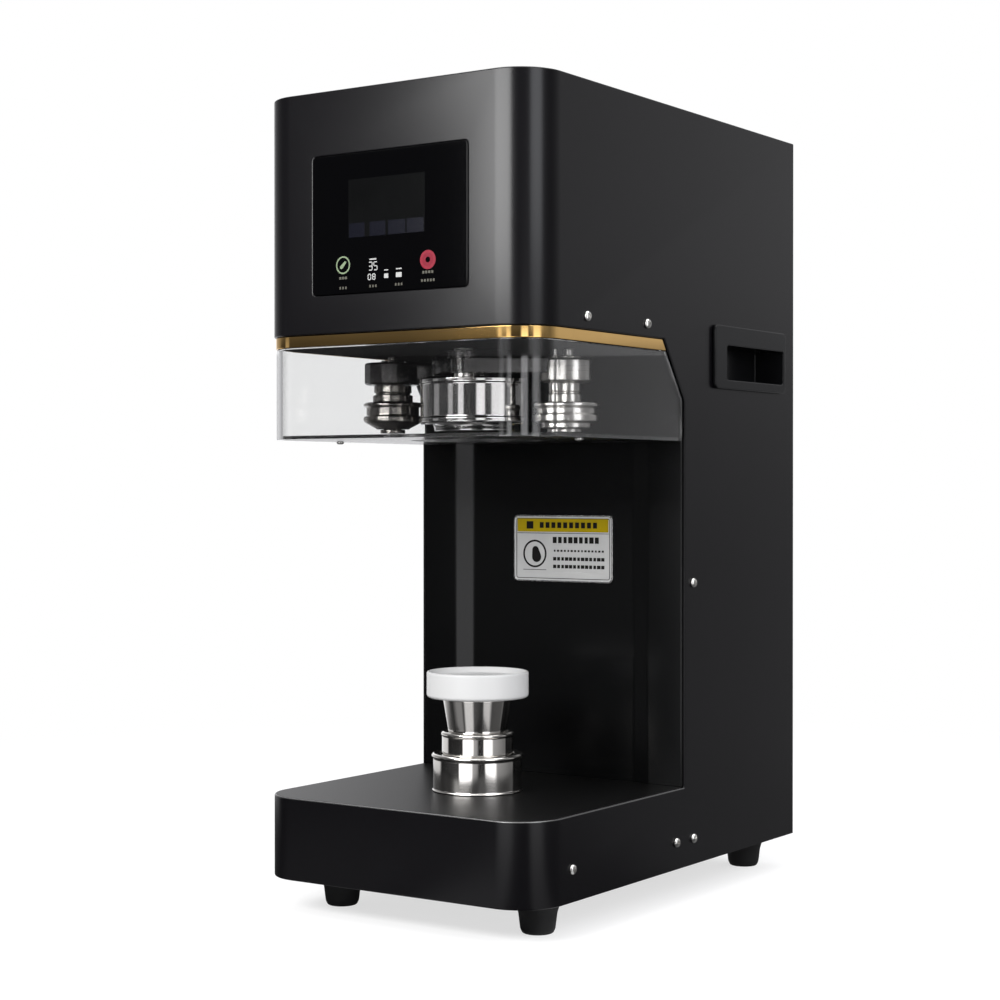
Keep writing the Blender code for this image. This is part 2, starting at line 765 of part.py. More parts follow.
# ---------------------------------------------------------------- screws, feet and plate
def make_side_screws():
    """Button-head screws; each is turned along Z and laid over to point into its side."""
    profile = [
        (0.0, SCREW_HEAD_HEIGHT - SCREW_SOCKET_DEPTH),
        (SCREW_SOCKET_RADIUS, SCREW_HEAD_HEIGHT - SCREW_SOCKET_DEPTH),
        (SCREW_SOCKET_RADIUS, SCREW_HEAD_HEIGHT),
        (SCREW_HEAD_RADIUS * SCREW_CROWN_RADIUS_SHARE, SCREW_HEAD_HEIGHT * SCREW_CROWN_HEIGHT_SHARE),
        (SCREW_HEAD_RADIUS, 0.0),
        (SCREW_SHANK_RADIUS, 0.0),
        (SCREW_SHANK_RADIUS, -SCREW_SHANK_LENGTH),
        (0.0, -SCREW_SHANK_LENGTH),
    ]
    for side_name, side in (("left", -1), ("right", 1)):
        for name, y, z in side_screw_places():
            screw = turned_object(f"{name}_screw_{side_name}", profile, (0.0, 0.0), SMALL_STEPS)
            screw.location = (side * (HALF_WIDTH + GAP), y, z)
            screw.rotation_euler = (0.0, side * math.pi / 2, 0.0)
            finish(screw, STEEL)


def make_feet():
    top = BODY_BOTTOM_Z - GAP
    profile = [
        (0.0, top),
        (FOOT_TOP_RADIUS, top),
        (FOOT_TOP_RADIUS, top * FOOT_TAPER_START),
        (FOOT_BOTTOM_RADIUS + FOOT_SOLE_FLARE, FOOT_SOLE_HEIGHT),
        (FOOT_BOTTOM_RADIUS, FOOT_EDGE_HEIGHT),
        (FOOT_BOTTOM_RADIUS - FOOT_EDGE_WIDTH, 0.0),
        (FOOT_RECESS_RADIUS, 0.0),
        (FOOT_RECESS_RADIUS, FOOT_RECESS_DEPTH),
        (0.0, FOOT_RECESS_DEPTH),
    ]
    x = HALF_WIDTH - FOOT_SIDE_INSET
    rows = (("front", FRONT_Y + FOOT_FRONT_INSET), ("rear", REAR_Y - FOOT_REAR_INSET))
    for row, y in rows:
        for side_name, side in (("left", -1), ("right", 1)):
            foot = turned_object(f"foot_{row}_{side_name}", profile, (side * x, y), FOOT_STEPS)
            finish(foot, RUBBER)


def make_data_plate():
    z = DECK_Z + PLATE_ABOVE_DECK
    outline = rounded_rectangle(
        (PLATE_CENTRE_X - PLATE_WIDTH / 2, z - PLATE_HEIGHT / 2),
        (PLATE_CENTRE_X + PLATE_WIDTH / 2, z + PLATE_HEIGHT / 2),
        PLATE_CORNER,
        steps=4,
    )
    rear = COLUMN_Y + COLUMN_RECESS - GAP
    finish(flat_object("data_plate", [outline], rear - PLATE_THICKNESS, rear, "XZ"), PLATE)


# ---------------------------------------------------------------- touch panel and handles
def make_touch_panel():
    low = HEAD_Z + PANEL_ABOVE_HEAD_BOTTOM
    high = low + PANEL_HEIGHT
    half = PANEL_WIDTH / 2
    front = FRONT_Y - PANEL_PROUD
    outline = rounded_rectangle((-half, low), (half, high), PANEL_CORNER)
    glass = flat_object("touch_panel_glass", [outline], front, front + PANEL_THICKNESS, "XZ")
    finish(glass, GLASS)

    lip = HOUSING_LIP
    housing_front = max(FRONT_Y + SHEET, front + PANEL_THICKNESS) + GAP
    housing = box_object(
        "touch_panel_housing",
        (-half - lip, housing_front, low - lip),
        (half + lip, housing_front + HOUSING_DEPTH, high + lip),
    )
    pocket = box_object(
        "housing_pocket",
        (-half - lip + HOUSING_WALL, housing_front + HOUSING_WALL, low - lip + HOUSING_WALL),
        (half + lip - HOUSING_WALL, housing_front + 2 * HOUSING_DEPTH, high + lip - HOUSING_WALL),
    )
    boolean(housing, as_cutter(pocket))
    finish(housing, GLOSS_BLACK)


def handle_limits():
    """Front, rear, lowest and highest limits of a handle's bezel."""
    front = FRONT_Y + HANDLE_SETBACK
    low = TRIM_Z - HANDLE_HEIGHT + HANDLE_ABOVE_TRIM + TRIM_HEIGHT
    return front, front + HANDLE_LENGTH, low, low + HANDLE_HEIGHT


def make_handles():
    front, rear, low, high = handle_limits()
    bezel_outline = rounded_rectangle((front, low), (rear, high), HANDLE_CORNER)
    opening_low = (front + HANDLE_MARGIN_FRONT, low + HANDLE_MARGIN_BOTTOM)
    opening_high = (rear - HANDLE_MARGIN_REAR, high - HANDLE_MARGIN_TOP)
    wall = HANDLE_WALL
    for side_name, side in (("left", -1), ("right", 1)):
        inner = side * (HALF_WIDTH + GAP)
        outer = inner + side * HANDLE_PROUD
        deep = inner - side * HANDLE_DEPTH
        bezel = flat_object(
            f"handle_cup_{side_name}", [bezel_outline], min(inner, outer), max(inner, outer), "YZ"
        )
        overlap = inner + side * HANDLE_PROUD / 2
        tub = box_object(
            f"handle_tub_{side_name}",
            (min(deep, overlap), opening_low[0] - wall, opening_low[1] - wall),
            (max(deep, overlap), opening_high[0] + wall, opening_high[1] + wall),
        )
        boolean(bezel, as_cutter(tub), "UNION")
        floor = deep + side * wall
        beyond = outer + side * HANDLE_DEPTH
        recess = box_object(
            f"handle_recess_{side_name}",
            (min(floor, beyond), opening_low[0], opening_low[1]),
            (max(floor, beyond), opening_high[0], opening_high[1]),
        )
        boolean(bezel, as_cutter(recess))
        finish(bezel, GLOSS_BLACK)


# ---------------------------------------------------------------- power inlet and rocker
def make_power_inlet():
    z = BODY_BOTTOM_Z + INLET_ABOVE_BODY_BOTTOM
    x = INLET_CENTRE_X
    face = REAR_Y + REAR_FITTING_PROUD
    lip_outline = rounded_rectangle(
        (x - INLET_WIDTH / 2, z - INLET_HEIGHT / 2),
        (x + INLET_WIDTH / 2, z + INLET_HEIGHT / 2),
        INLET_CORNER,
    )
    inlet = flat_object("power_inlet", [lip_outline], REAR_Y + GAP, face, "XZ")
    half_width = INLET_WIDTH / 2 - INLET_LIP
    half_height = INLET_HEIGHT / 2 - INLET_LIP
    body = box_object(
        "inlet_body",
        (x - half_width, REAR_Y - INLET_BODY_DEPTH, z - half_height),
        (x + half_width, REAR_Y + (GAP + REAR_FITTING_PROUD) / 2, z + half_height),
    )
    boolean(inlet, as_cutter(body), "UNION")
    socket = box_object(
        "inlet_socket",
        (x - SOCKET_WIDTH / 2 + INLET_LIP, face - SOCKET_DEPTH, z - SOCKET_DROP - SOCKET_HEIGHT / 2),
        (x + SOCKET_WIDTH / 2 - INLET_LIP, face + SOCKET_DEPTH, z - SOCKET_DROP + SOCKET_HEIGHT / 2),
    )
    boolean(inlet, as_cutter(socket))
    rocker_z = z + ROCKER_RISE
    well = box_object(
        "rocker_well",
        (x - ROCKER_WIDTH / 2 - GAP, face - ROCKER_WELL_DEPTH, rocker_z - ROCKER_WELL_HALF_HEIGHT),
        (x + ROCKER_WIDTH / 2 + GAP, face + ROCKER_WELL_DEPTH, rocker_z + ROCKER_WELL_HALF_HEIGHT),
    )
    boolean(inlet, as_cutter(well))
    finish(inlet, GLOSS_BLACK)

    tip = ROCKER_HALF_HEIGHT
    side_view = [
        (ROCKER_TIP, tip),
        (ROCKER_DISH, 0.0),
        (ROCKER_TIP, -tip),
        (-ROCKER_BACK, -tip * ROCKER_BACK_SHARE),
        (-ROCKER_BACK, tip * ROCKER_BACK_SHARE),
    ]
    rocker = flat_object("power_rocker", [side_view], -ROCKER_WIDTH / 2, ROCKER_WIDTH / 2, "YZ")
    rocker.location = (x, face - ROCKER_TIP, rocker_z)
    rocker.rotation_euler = (math.radians(ROCKER_TILT_DEG), 0.0, 0.0)
    finish(rocker, GLOSS_BLACK)


# ---------------------------------------------------------------- lift
def collar_socket_radius():
    """The outside of the collar's lower tube, which goes down through the deck."""
    return SLEEVE_RADIUS + RUNNING_GAP + COLLAR_SOCKET_WALL


def make_lift():
    place = (0.0, AXIS_Y)
    motor_top = BODY_BOTTOM_Z + SHEET + GAP + LIFT_MOTOR_HEIGHT
    collar_top = DECK_Z + COLLAR_HEIGHT
    sleeve_top = collar_top + SLEEVE_RISE
    sleeve_bottom = motor_top + 2 * GAP
    cone_top = sleeve_top + PISTON_CONE_HEIGHT
    piston_radius = SLEEVE_RADIUS - SLEEVE_WALL - RUNNING_GAP
    piston_bottom = motor_top + LIFT_SCREW_RADIUS / 2

    motor = [
        (0.0, motor_top),
        (LIFT_MOTOR_RADIUS, motor_top),
        (LIFT_MOTOR_RADIUS, motor_top - LIFT_MOTOR_HEIGHT),
        (0.0, motor_top - LIFT_MOTOR_HEIGHT),
    ]
    finish(turned_object("lift_motor", motor, place), ZINC)

    bore = SLEEVE_RADIUS + RUNNING_GAP
    socket = collar_socket_radius()
    collar = [
        (bore, collar_top),
        (COLLAR_RIM_RADIUS, collar_top),
        (COLLAR_RIM_RADIUS, collar_top - COLLAR_RIM_HEIGHT),
        (COLLAR_RADIUS, collar_top - COLLAR_RIM_HEIGHT),
        (COLLAR_RADIUS, DECK_Z + GAP),
        (socket, DECK_Z + GAP),
        (socket, motor_top + GAP),
        (bore, motor_top + GAP),
    ]
    finish(turned_object("lift_collar", collar, place, closed=True), STEEL)

    sleeve_bore = SLEEVE_RADIUS - SLEEVE_WALL
    sleeve = [
        (sleeve_bore, sleeve_top),
        (SLEEVE_RADIUS - SLEEVE_EDGE, sleeve_top),
        (SLEEVE_RADIUS, sleeve_top - SLEEVE_EDGE),
        (SLEEVE_RADIUS, sleeve_bottom),
        (sleeve_bore, sleeve_bottom),
    ]
    finish(turned_object("lift_sleeve", sleeve, place, closed=True), STEEL)

    nut_bore = LIFT_SCREW_RADIUS + RUNNING_GAP
    hollow = piston_radius - PISTON_WALL
    nut_top = piston_bottom + NUT_HEIGHT
    piston = [
        (0.0, cone_top),
        (PISTON_TOP_RADIUS, cone_top),
        (piston_radius, sleeve_top + GAP),
        (piston_radius, piston_bottom),
        (nut_bore, piston_bottom),
        (nut_bore, nut_top),
        (hollow, nut_top),
        (hollow, cone_top - PISTON_WALL),
        (0.0, cone_top - PISTON_WALL),
    ]
    finish(turned_object("lift_piston", piston, place), STEEL)

    screw_top = min(cone_top - PISTON_WALL - GAP, piston_bottom + NUT_HEIGHT / 2 + LIFT_TRAVEL)
    flange_top = piston_bottom - 2 * GAP
    screw = [
        (0.0, screw_top),
        (LIFT_SCREW_RADIUS, screw_top),
        (LIFT_SCREW_RADIUS, flange_top),
        (LIFT_SCREW_FLANGE_RADIUS, flange_top),
        (LIFT_SCREW_FLANGE_RADIUS, motor_top + GAP),
        (0.0, motor_top + GAP),
    ]
    finish(turned_object("lift_screw", screw, place, SHAFT_STEPS), ZINC)

    foot = cone_top + GAP
    top = foot + TRAY_HEIGHT
    inner = TRAY_RADIUS - TRAY_RIM
    tray = [
        (0.0, top - TRAY_DISH),
        (inner - TRAY_DISH_SLOPE, top - TRAY_DISH),
        (inner, top - TRAY_RIM_DROP),
        (TRAY_RADIUS - TRAY_EDGE, top),
        (TRAY_RADIUS, top - TRAY_EDGE),
        (TRAY_RADIUS - TRAY_SIDE_TAPER, foot + TRAY_SIDE_BOTTOM),
        (TRAY_RADIUS - TRAY_UNDERCUT_WIDTH, foot + TRAY_UNDERCUT_TOP),
        (TRAY_FOOT_RADIUS, foot),
        (0.0, foot),
    ]
    finish(turned_object("lift_tray", tray, place), WHITE)


# ---------------------------------------------------------------- seaming head
def make_chuck():
    place = (0.0, AXIS_Y)
    top = TRIM_Z - CHUCK_TOP_DROP
    bell = TRIM_Z - CHUCK_BELL_DROP
    lip = TRIM_Z - CHUCK_LIP_DROP
    bore = POST_RADIUS + HOLE_GAP
    post_foot = bell + (top - bell) / 4
    chuck = [
        (0.0, post_foot),
        (bore, post_foot),
        (bore, top),
        (CHUCK_RADIUS - CHUCK_EDGE, top),
        (CHUCK_RADIUS, top - CHUCK_EDGE),
        (CHUCK_RADIUS, bell + CHUCK_BELL_EDGE),
        (CHUCK_RADIUS - CHUCK_BELL_EDGE, bell),
        (CHUCK_LIP_RADIUS, bell),
        (CHUCK_LIP_RADIUS - CHUCK_EDGE, lip),
        (0.0, lip),
    ]
    finish(turned_object("seaming_chuck", chuck, place, CHUCK_STEPS), STEEL)

    nut_bottom = FRAME_TOP_Z + GAP
    post_top = nut_bottom + POST_STAND_IN_NUTS * POST_NUT_HEIGHT
    post = [
        (0.0, post_top),
        (POST_RADIUS, post_top),
        (POST_RADIUS, nut_bottom + POST_NUT_HEIGHT),
        (POST_NUT_RADIUS, nut_bottom + POST_NUT_HEIGHT),
        (POST_NUT_RADIUS, nut_bottom),
        (POST_RADIUS, nut_bottom),
        (POST_RADIUS, post_foot + GAP),
        (0.0, post_foot + GAP),
    ]
    finish(turned_object("chuck_post", post, place, MEDIUM_STEPS), STEEL)


def pivot_offset(side):
    """Where an arm's pivot is, from the seaming axis, for the left (-1) or the right (1) roller."""
    angle = math.radians(PIVOT_ANGLE_DEG)
    return (side * PIVOT_RADIUS * math.cos(angle), -side * PIVOT_RADIUS * math.sin(angle))


def make_turret():
    place = (0.0, AXIS_Y)
    hub_top = TRIM_Z - HUB_TOP_DROP
    hub_bottom = TRIM_Z - HUB_BOTTOM_DROP
    spindle_profile = [
        (SPINDLE_BORE, SPINDLE_TOP_Z),
        (SPINDLE_RADIUS, SPINDLE_TOP_Z),
        (SPINDLE_RADIUS, hub_top),
        (HUB_RADIUS - HUB_EDGE, hub_top),
        (HUB_RADIUS, hub_top - HUB_EDGE),
        (HUB_RADIUS, hub_bottom),
        (SPINDLE_BORE, hub_bottom),
    ]
    spindle = turned_object("turret_spindle", spindle_profile, place, closed=True)
    ear_bottom = TRIM_Z - ARM_TOP_DROP + GAP
    ear_top = ear_bottom + EAR_THICKNESS
    ear_root_radius = (SPINDLE_BORE + HUB_RADIUS) / 2
    for side_name, side in (("left", -1), ("right", 1)):
        dx, dy = pivot_offset(side)
        inward = ear_root_radius / PIVOT_RADIUS
        ear = flat_object(
            f"turret_ear_{side_name}",
            [
                capsule((dx * inward, dy * inward), (dx, dy), EAR_ROOT_HALF_WIDTH, EAR_HALF_WIDTH),
                circle((dx, dy), PIVOT_PIN_RADIUS + HOLE_GAP, SMALL_STEPS),
            ],
            ear_bottom,
            ear_top,
        )
        ear.location = spindle.location
        boolean(spindle, as_cutter(ear), "UNION")
    finish(spindle, DARK_STEEL)

    bottom = HOUSING_BOTTOM_Z
    top = bottom + SPINDLE_HOUSING_HEIGHT
    bore = BEARING_RADIUS + HOLE_GAP
    housing = [
        (bore, top),
        (HOUSING_RADIUS, top),
        (HOUSING_RADIUS, bottom + HOUSING_FLANGE_HEIGHT),
        (HOUSING_FLANGE_RADIUS, bottom + HOUSING_FLANGE_HEIGHT),
        (HOUSING_FLANGE_RADIUS, bottom),
        (bore, bottom),
    ]
    finish(turned_object("spindle_housing", housing, place, closed=True), ZINC)
    race = SPINDLE_RADIUS + HOLE_GAP
    for name, low in (
        ("spindle_bearing_lower", bottom),
        ("spindle_bearing_upper", UPPER_BEARING_TOP_Z - BEARING_HEIGHT),
    ):
        ring = tube_profile(BEARING_RADIUS, race, low, low + BEARING_HEIGHT)
        finish(turned_object(name, ring, place, MEDIUM_STEPS, closed=True), STEEL)

    pin_bottom = TRIM_Z - ARM_BOTTOM_DROP - GAP
    cap_bottom = ear_top + GAP
    cap_top = TRIM_Z - STUD_TOP_DROP
    pin = [
        (0.0, cap_top),
        (PIVOT_HEAD_RADIUS, cap_top),
        (PIVOT_HEAD_RADIUS, cap_bottom),
        (PIVOT_PIN_RADIUS, cap_bottom),
        (PIVOT_PIN_RADIUS, pin_bottom),
        (PIVOT_HEAD_RADIUS, pin_bottom),
        (PIVOT_HEAD_RADIUS, pin_bottom - PIVOT_HEAD_HEIGHT),
        (0.0, pin_bottom - PIVOT_HEAD_HEIGHT),
    ]
    for name, side in (("arm_pivot_pin_left", -1), ("arm_pivot_pin_right", 1)):
        dx, dy = pivot_offset(side)
        finish(turned_object(name, pin, (dx, AXIS_Y + dy), SHAFT_STEPS), STEEL)


def make_roller_arm(side_name, side):
    boss_radius, boss_top, boss_bottom, facets, neck, roller, roller_top, roller_bottom = ROLLER_SIZES[
        side_name
    ]
    dx, dy = pivot_offset(side)
    pivot = (dx, AXIS_Y + dy)
    wheel = (side * ORBIT_RADIUS - dx, -dy)
    bore = STUD_RADIUS + HOLE_GAP
    arm = flat_object(
        f"roller_arm_{side_name}",
        [
            capsule((0.0, 0.0), wheel, ARM_PIVOT_END_RADIUS, ARM_ROLLER_END_RADIUS),
            circle((0.0, 0.0), PIVOT_PIN_RADIUS + RUNNING_GAP, SMALL_STEPS),
            circle(wheel, (bore + ARM_ROLLER_END_RADIUS) / 2, SMALL_STEPS),
        ],
        TRIM_Z - ARM_BOTTOM_DROP,
        TRIM_Z - ARM_TOP_DROP,
    )
    arm.location = (pivot[0], pivot[1], 0.0)
    boss = turned_object(
        f"arm_boss_{side_name}",
        tube_profile(boss_radius, bore, TRIM_Z - boss_bottom, TRIM_Z - boss_top),
        (side * ORBIT_RADIUS, AXIS_Y),
        facets,
        closed=True,
    )
    boolean(arm, as_cutter(boss), "UNION")
    finish(arm, DARK_STEEL)

    roller_axis = (side * ORBIT_RADIUS, AXIS_Y)
    washer_bottom = TRIM_Z - boss_top + GAP
    head_top = TRIM_Z - roller_bottom - GAP
    neck_bottom = TRIM_Z - roller_top + GAP
    neck_top = TRIM_Z - boss_bottom - GAP
    stud = [
        (0.0, TRIM_Z - STUD_TOP_DROP),
        (STUD_TIP_RADIUS, TRIM_Z - STUD_TOP_DROP),
        (STUD_TIP_RADIUS, washer_bottom + STUD_WASHER_HEIGHT),
        (STUD_WASHER_RADIUS, washer_bottom + STUD_WASHER_HEIGHT),
        (STUD_WASHER_RADIUS, washer_bottom),
        (STUD_RADIUS, washer_bottom),
        (STUD_RADIUS, neck_top),
        (neck, neck_top),
        (neck, neck_bottom),
        (STUD_RADIUS, neck_bottom),
        (STUD_RADIUS, head_top),
        (STUD_HEAD_RADIUS, head_top),
        (STUD_HEAD_RADIUS, head_top - STUD_HEAD_HEIGHT),
        (0.0, head_top - STUD_HEAD_HEIGHT),
    ]
    finish(turned_object(f"roller_stud_{side_name}", stud, roller_axis, MEDIUM_STEPS), STEEL)

    top = TRIM_Z - roller_top
    bottom = TRIM_Z - roller_bottom
    height = top - bottom
    groove = roller - ROLLER_GROOVE_DEPTH
    wheel_bore = STUD_RADIUS + RUNNING_GAP
    profile = [
        (wheel_bore, top),
        (roller, top),
        (roller, top - ROLLER_GROOVE_START * height),
        (groove, top - ROLLER_GROOVE_TOP * height),
        (groove, top - ROLLER_GROOVE_BOTTOM * height),
        (roller, top - ROLLER_GROOVE_END * height),
        (roller, top - ROLLER_CONE_START * height),
        (roller * ROLLER_CONE_SHARE, bottom),
        (wheel_bore, bottom),
    ]
    wheel_object = turned_object(
        f"seaming_roller_{side_name}", profile, roller_axis, ROUND_STEPS, closed=True
    )
    finish(wheel_object, STEEL)


# ---------------------------------------------------------------- turret drive
def gear_outline(teeth):
    """Straight-flanked teeth round the origin, the first one centred on +X."""
    pitch = GEAR_MODULE * teeth / 2
    lean = math.tan(math.radians(TOOTH_FLANK_DEG))
    tip = pitch + TOOTH_ADDENDUM
    root = pitch - TOOTH_DEDENDUM
    half_tip = (TOOTH_THICKNESS / 2 - TOOTH_ADDENDUM * lean) / tip
    half_root = (TOOTH_THICKNESS / 2 + TOOTH_DEDENDUM * lean) / root
    points = []
    for i in range(teeth):
        middle = 2 * math.pi * i / teeth
        for radius, angle in (
            (root, middle - half_root),
            (tip, middle - half_tip),
            (tip, middle + half_tip),
            (root, middle + half_root),
        ):
            points.append((radius * math.cos(angle), radius * math.sin(angle)))
    return points


def make_turret_drive():
    bore = circle((0.0, 0.0), SPINDLE_RADIUS + HOLE_GAP, ROUND_STEPS)
    gear = flat_object("turret_gear", [gear_outline(GEAR_TEETH), bore], GEAR_BOTTOM_Z, GEAR_TOP_Z)
    gear.location = (0.0, AXIS_Y, 0.0)
    finish(gear, STEEL)

    pinion = flat_object(
        "motor_pinion", [gear_outline(PINION_TEETH)], GEAR_BOTTOM_Z, GEAR_TOP_Z
    )
    pinion.location = (0.0, MOTOR_Y, 0.0)
    motor_bottom = FRAME_TOP_Z + GAP
    shaft_top = motor_bottom + MOTOR_SHAFT_ENGAGEMENT
    shaft_bottom = (GEAR_BOTTOM_Z + GEAR_TOP_Z) / 2
    shaft_profile = [
        (0.0, shaft_top),
        (MOTOR_SHAFT_RADIUS, shaft_top),
        (MOTOR_SHAFT_RADIUS, shaft_bottom),
        (0.0, shaft_bottom),
    ]
    shaft = turned_object("motor_shaft", shaft_profile, (0.0, MOTOR_Y), SHAFT_STEPS)
    boolean(pinion, as_cutter(shaft), "UNION")
    finish(pinion, STEEL)

    bore_radius = MOTOR_SHAFT_RADIUS + RUNNING_GAP
    bore_top = shaft_top + GAP
    motor_top = motor_bottom + MOTOR_HEIGHT
    motor_profile = [
        (0.0, motor_top),
        (MOTOR_RADIUS - MOTOR_EDGE, motor_top),
        (MOTOR_RADIUS, motor_top - MOTOR_EDGE),
        (MOTOR_RADIUS, motor_bottom),
        (bore_radius, motor_bottom),
        (bore_radius, bore_top),
        (0.0, bore_top),
    ]
    finish(turned_object("drive_motor", motor_profile, (0.0, MOTOR_Y)), ZINC)

    low = FLOOR_TOP_Z + GAP + DRIVE_FRAME_SHEET
    x = DRIVE_FRAME_HALF_WIDTH
    foot_x = x + DRIVE_FRAME_FOOT
    fold = [
        (-foot_x, low),
        (-x, low),
        (-x, FRAME_TOP_Z),
        (x, FRAME_TOP_Z),
        (x, low),
        (foot_x, low),
    ]
    frame = folded_sheet(
        "drive_frame",
        fold,
        AXIS_Y - DRIVE_FRAME_FRONT_REACH,
        MOTOR_Y + DRIVE_FRAME_REAR_REACH,
        DRIVE_FRAME_SHEET,
        along="Y",
    )
    for name, centre_y, radius in (
        ("post_hole", AXIS_Y, POST_RADIUS + HOLE_GAP),
        ("shaft_hole", MOTOR_Y, 2 * MOTOR_SHAFT_RADIUS),
    ):
        hole = flat_object(
            name,
            [circle((0.0, centre_y), radius, MEDIUM_STEPS)],
            FRAME_TOP_Z - 2 * DRIVE_FRAME_SHEET,
            FRAME_TOP_Z + DRIVE_FRAME_SHEET,
        )
        boolean(frame, as_cutter(hole))
    finish(frame, ZINC)


def make_control_board():
    """The board, its standoffs and its tall components as one assembled module."""
    rear = REAR_Y - SHEET - GAP
    board_rear = rear - BOARD_STANDOFF
    low = BODY_BOTTOM_Z + BOARD_ABOVE_BODY_BOTTOM
    half = BOARD_WIDTH / 2
    board = box_object(
        "control_board",
        (-half, board_rear - BOARD_THICKNESS, low),
        (half, board_rear, low + BOARD_HEIGHT),
    )
    edge = BOARD_EDGE
    for i, (x, z) in enumerate(
        (
            (-half + edge, low + edge),
            (half - edge, low + edge),
            (-half + edge, low + BOARD_HEIGHT - edge),
            (half - edge, low + BOARD_HEIGHT - edge),
        )
    ):
        standoff = flat_object(
            f"standoff_{i + 1}",
            [circle((x, z), BOARD_STANDOFF_RADIUS, STANDOFF_STEPS)],
            board_rear - BOARD_THICKNESS / 2,
            rear,
            "XZ",
        )
        boolean(board, as_cutter(standoff), "UNION")
    for name, x, z, width, height, depth in BOARD_COMPONENTS:
        block = box_object(
            name,
            (x - width / 2, board_rear - BOARD_THICKNESS - depth, low + z - height / 2),
            (x + width / 2, board_rear - BOARD_THICKNESS / 2, low + z + height / 2),
        )
        boolean(board, as_cutter(block), "UNION")
    finish(board, CIRCUIT)


def main():
    clear_scene()
    bpy.context.scene.collection.children.link(COLLECTION)
    bpy.context.scene.collection.children.link(CUTTERS)
    CUTTERS.hide_render = True
    screw_holes = screw_hole_cutter()
    make_body(screw_holes)
    make_guard()
    make_side_screws()
    make_feet()
    make_data_plate()
    make_touch_panel()
    make_handles()
    make_power_inlet()
    make_lift()
    make_chuck()
    make_turret()
    make_roller_arm("left", -1)
    make_roller_arm("right", 1)
    make_turret_drive()
    make_control_board()


main()
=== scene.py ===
import math

import bmesh
import bpy
from mathutils import Matrix, Vector


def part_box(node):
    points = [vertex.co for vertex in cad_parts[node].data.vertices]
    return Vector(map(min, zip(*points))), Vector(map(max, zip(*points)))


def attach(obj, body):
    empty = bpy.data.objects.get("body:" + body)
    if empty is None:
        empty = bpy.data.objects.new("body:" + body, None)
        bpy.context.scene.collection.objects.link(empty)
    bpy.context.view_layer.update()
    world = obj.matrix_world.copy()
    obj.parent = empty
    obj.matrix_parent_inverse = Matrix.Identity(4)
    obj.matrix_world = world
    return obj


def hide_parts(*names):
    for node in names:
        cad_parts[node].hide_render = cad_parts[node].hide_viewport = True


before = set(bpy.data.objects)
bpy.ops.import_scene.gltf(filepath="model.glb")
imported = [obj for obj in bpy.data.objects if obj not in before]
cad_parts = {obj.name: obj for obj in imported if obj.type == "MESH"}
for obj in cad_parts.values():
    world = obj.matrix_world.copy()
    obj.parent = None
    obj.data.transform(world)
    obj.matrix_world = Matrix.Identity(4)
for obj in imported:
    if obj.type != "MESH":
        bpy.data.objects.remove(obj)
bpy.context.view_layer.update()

# ---------------------------------------------------------------- finishing sizes
GAP = 0.0003
RUNNING_GAP = 0.0004

SHEET = 0.002
CORNER_RADIUS = 0.031
CORNER_STEPS = 24
SHEET_EDGE = 0.00098
SHORTEST_FOLD = 0.0007
WINDOW_CORNER = 0.0028
DECK_HOLE_RADIUS = 0.0305
EDGE_DEPTH = 0.0004
EDGE_PROUD = 0.00002
EDGE_STEPS = 10
SEAM_INSET = 0.0013
SEAM_STEP = 0.0001
LINING = SHEET + GAP
THROAT_SLOPE_RUN = 0.0295
THROAT_SLOPE_RISE = 0.042

TRIM_INSET = 0.0011
TRIM_THICKNESS = 0.0016
TRIM_LEAN = 0.00004
GUARD_INSET = 0.0016
GUARD_WALL = 0.004
GUARD_HOLE_RADIUS = 0.047
GUARD_REAR_GAP = 0.0012
GUARD_SCREW_HOLE_RADIUS = 0.0019

COLUMN_RECESS = 0.0046
COLUMN_RECESS_HALF_WIDTH = 0.071
COLUMN_SLANT_WIDTH = 0.014
COLUMN_SHEET = 0.0015
COLUMN_FOLD_RADIUS = 0.0016

INLET_OPENING_LIP = 0.0022
VENT_COUNT = 9
VENT_PITCH = 0.014
VENT_WIDTH = 0.005
VENT_HEIGHT = 0.060
VENT_BELOW_TOP = 0.040
COVER_SCREW_MARGIN = 0.007
COVER_SCREW_RADIUS = 0.0034
COVER_SCREW_HEIGHT = 0.0017
COVER_SCREW_SIZE = 0.8
CROSS_HALF_WIDTH = 0.00035
CROSS_ARM = 0.0019

SCREW_HEAD_RADIUS = 0.0035
SCREW_HEAD_HEIGHT = 0.0021
SCREW_SOCKET_RADIUS = 0.0015
SCREW_SOCKET_DEPTH = 0.0013
SCREW_SHANK_RADIUS = 0.0017
SCREW_HOLE_RADIUS = 0.0021

FOOT_WAIST_RADIUS = 0.0131
FOOT_SOLE_RADIUS = 0.0103
FOOT_RECESS_RADIUS = 0.0045
FOOT_RECESS_DEPTH = 0.008

HANDLE_LIP = 0.0028
HANDLE_PROUD = 0.0027
HANDLE_CORNER = 0.0042
HANDLE_OPENING_CORNER = 0.0022
HANDLE_WALL = 0.002
HANDLE_MARGIN_FRONT = 0.018
HANDLE_MARGIN_REAR = 0.004
HANDLE_MARGIN_TOP = 0.0145
HANDLE_MARGIN_BOTTOM = 0.0069

TURN_STEPS = 128
SMALL_TURN_STEPS = 48
HOLD_DISTANCE = 0.0003
CREASE_DEG = 32

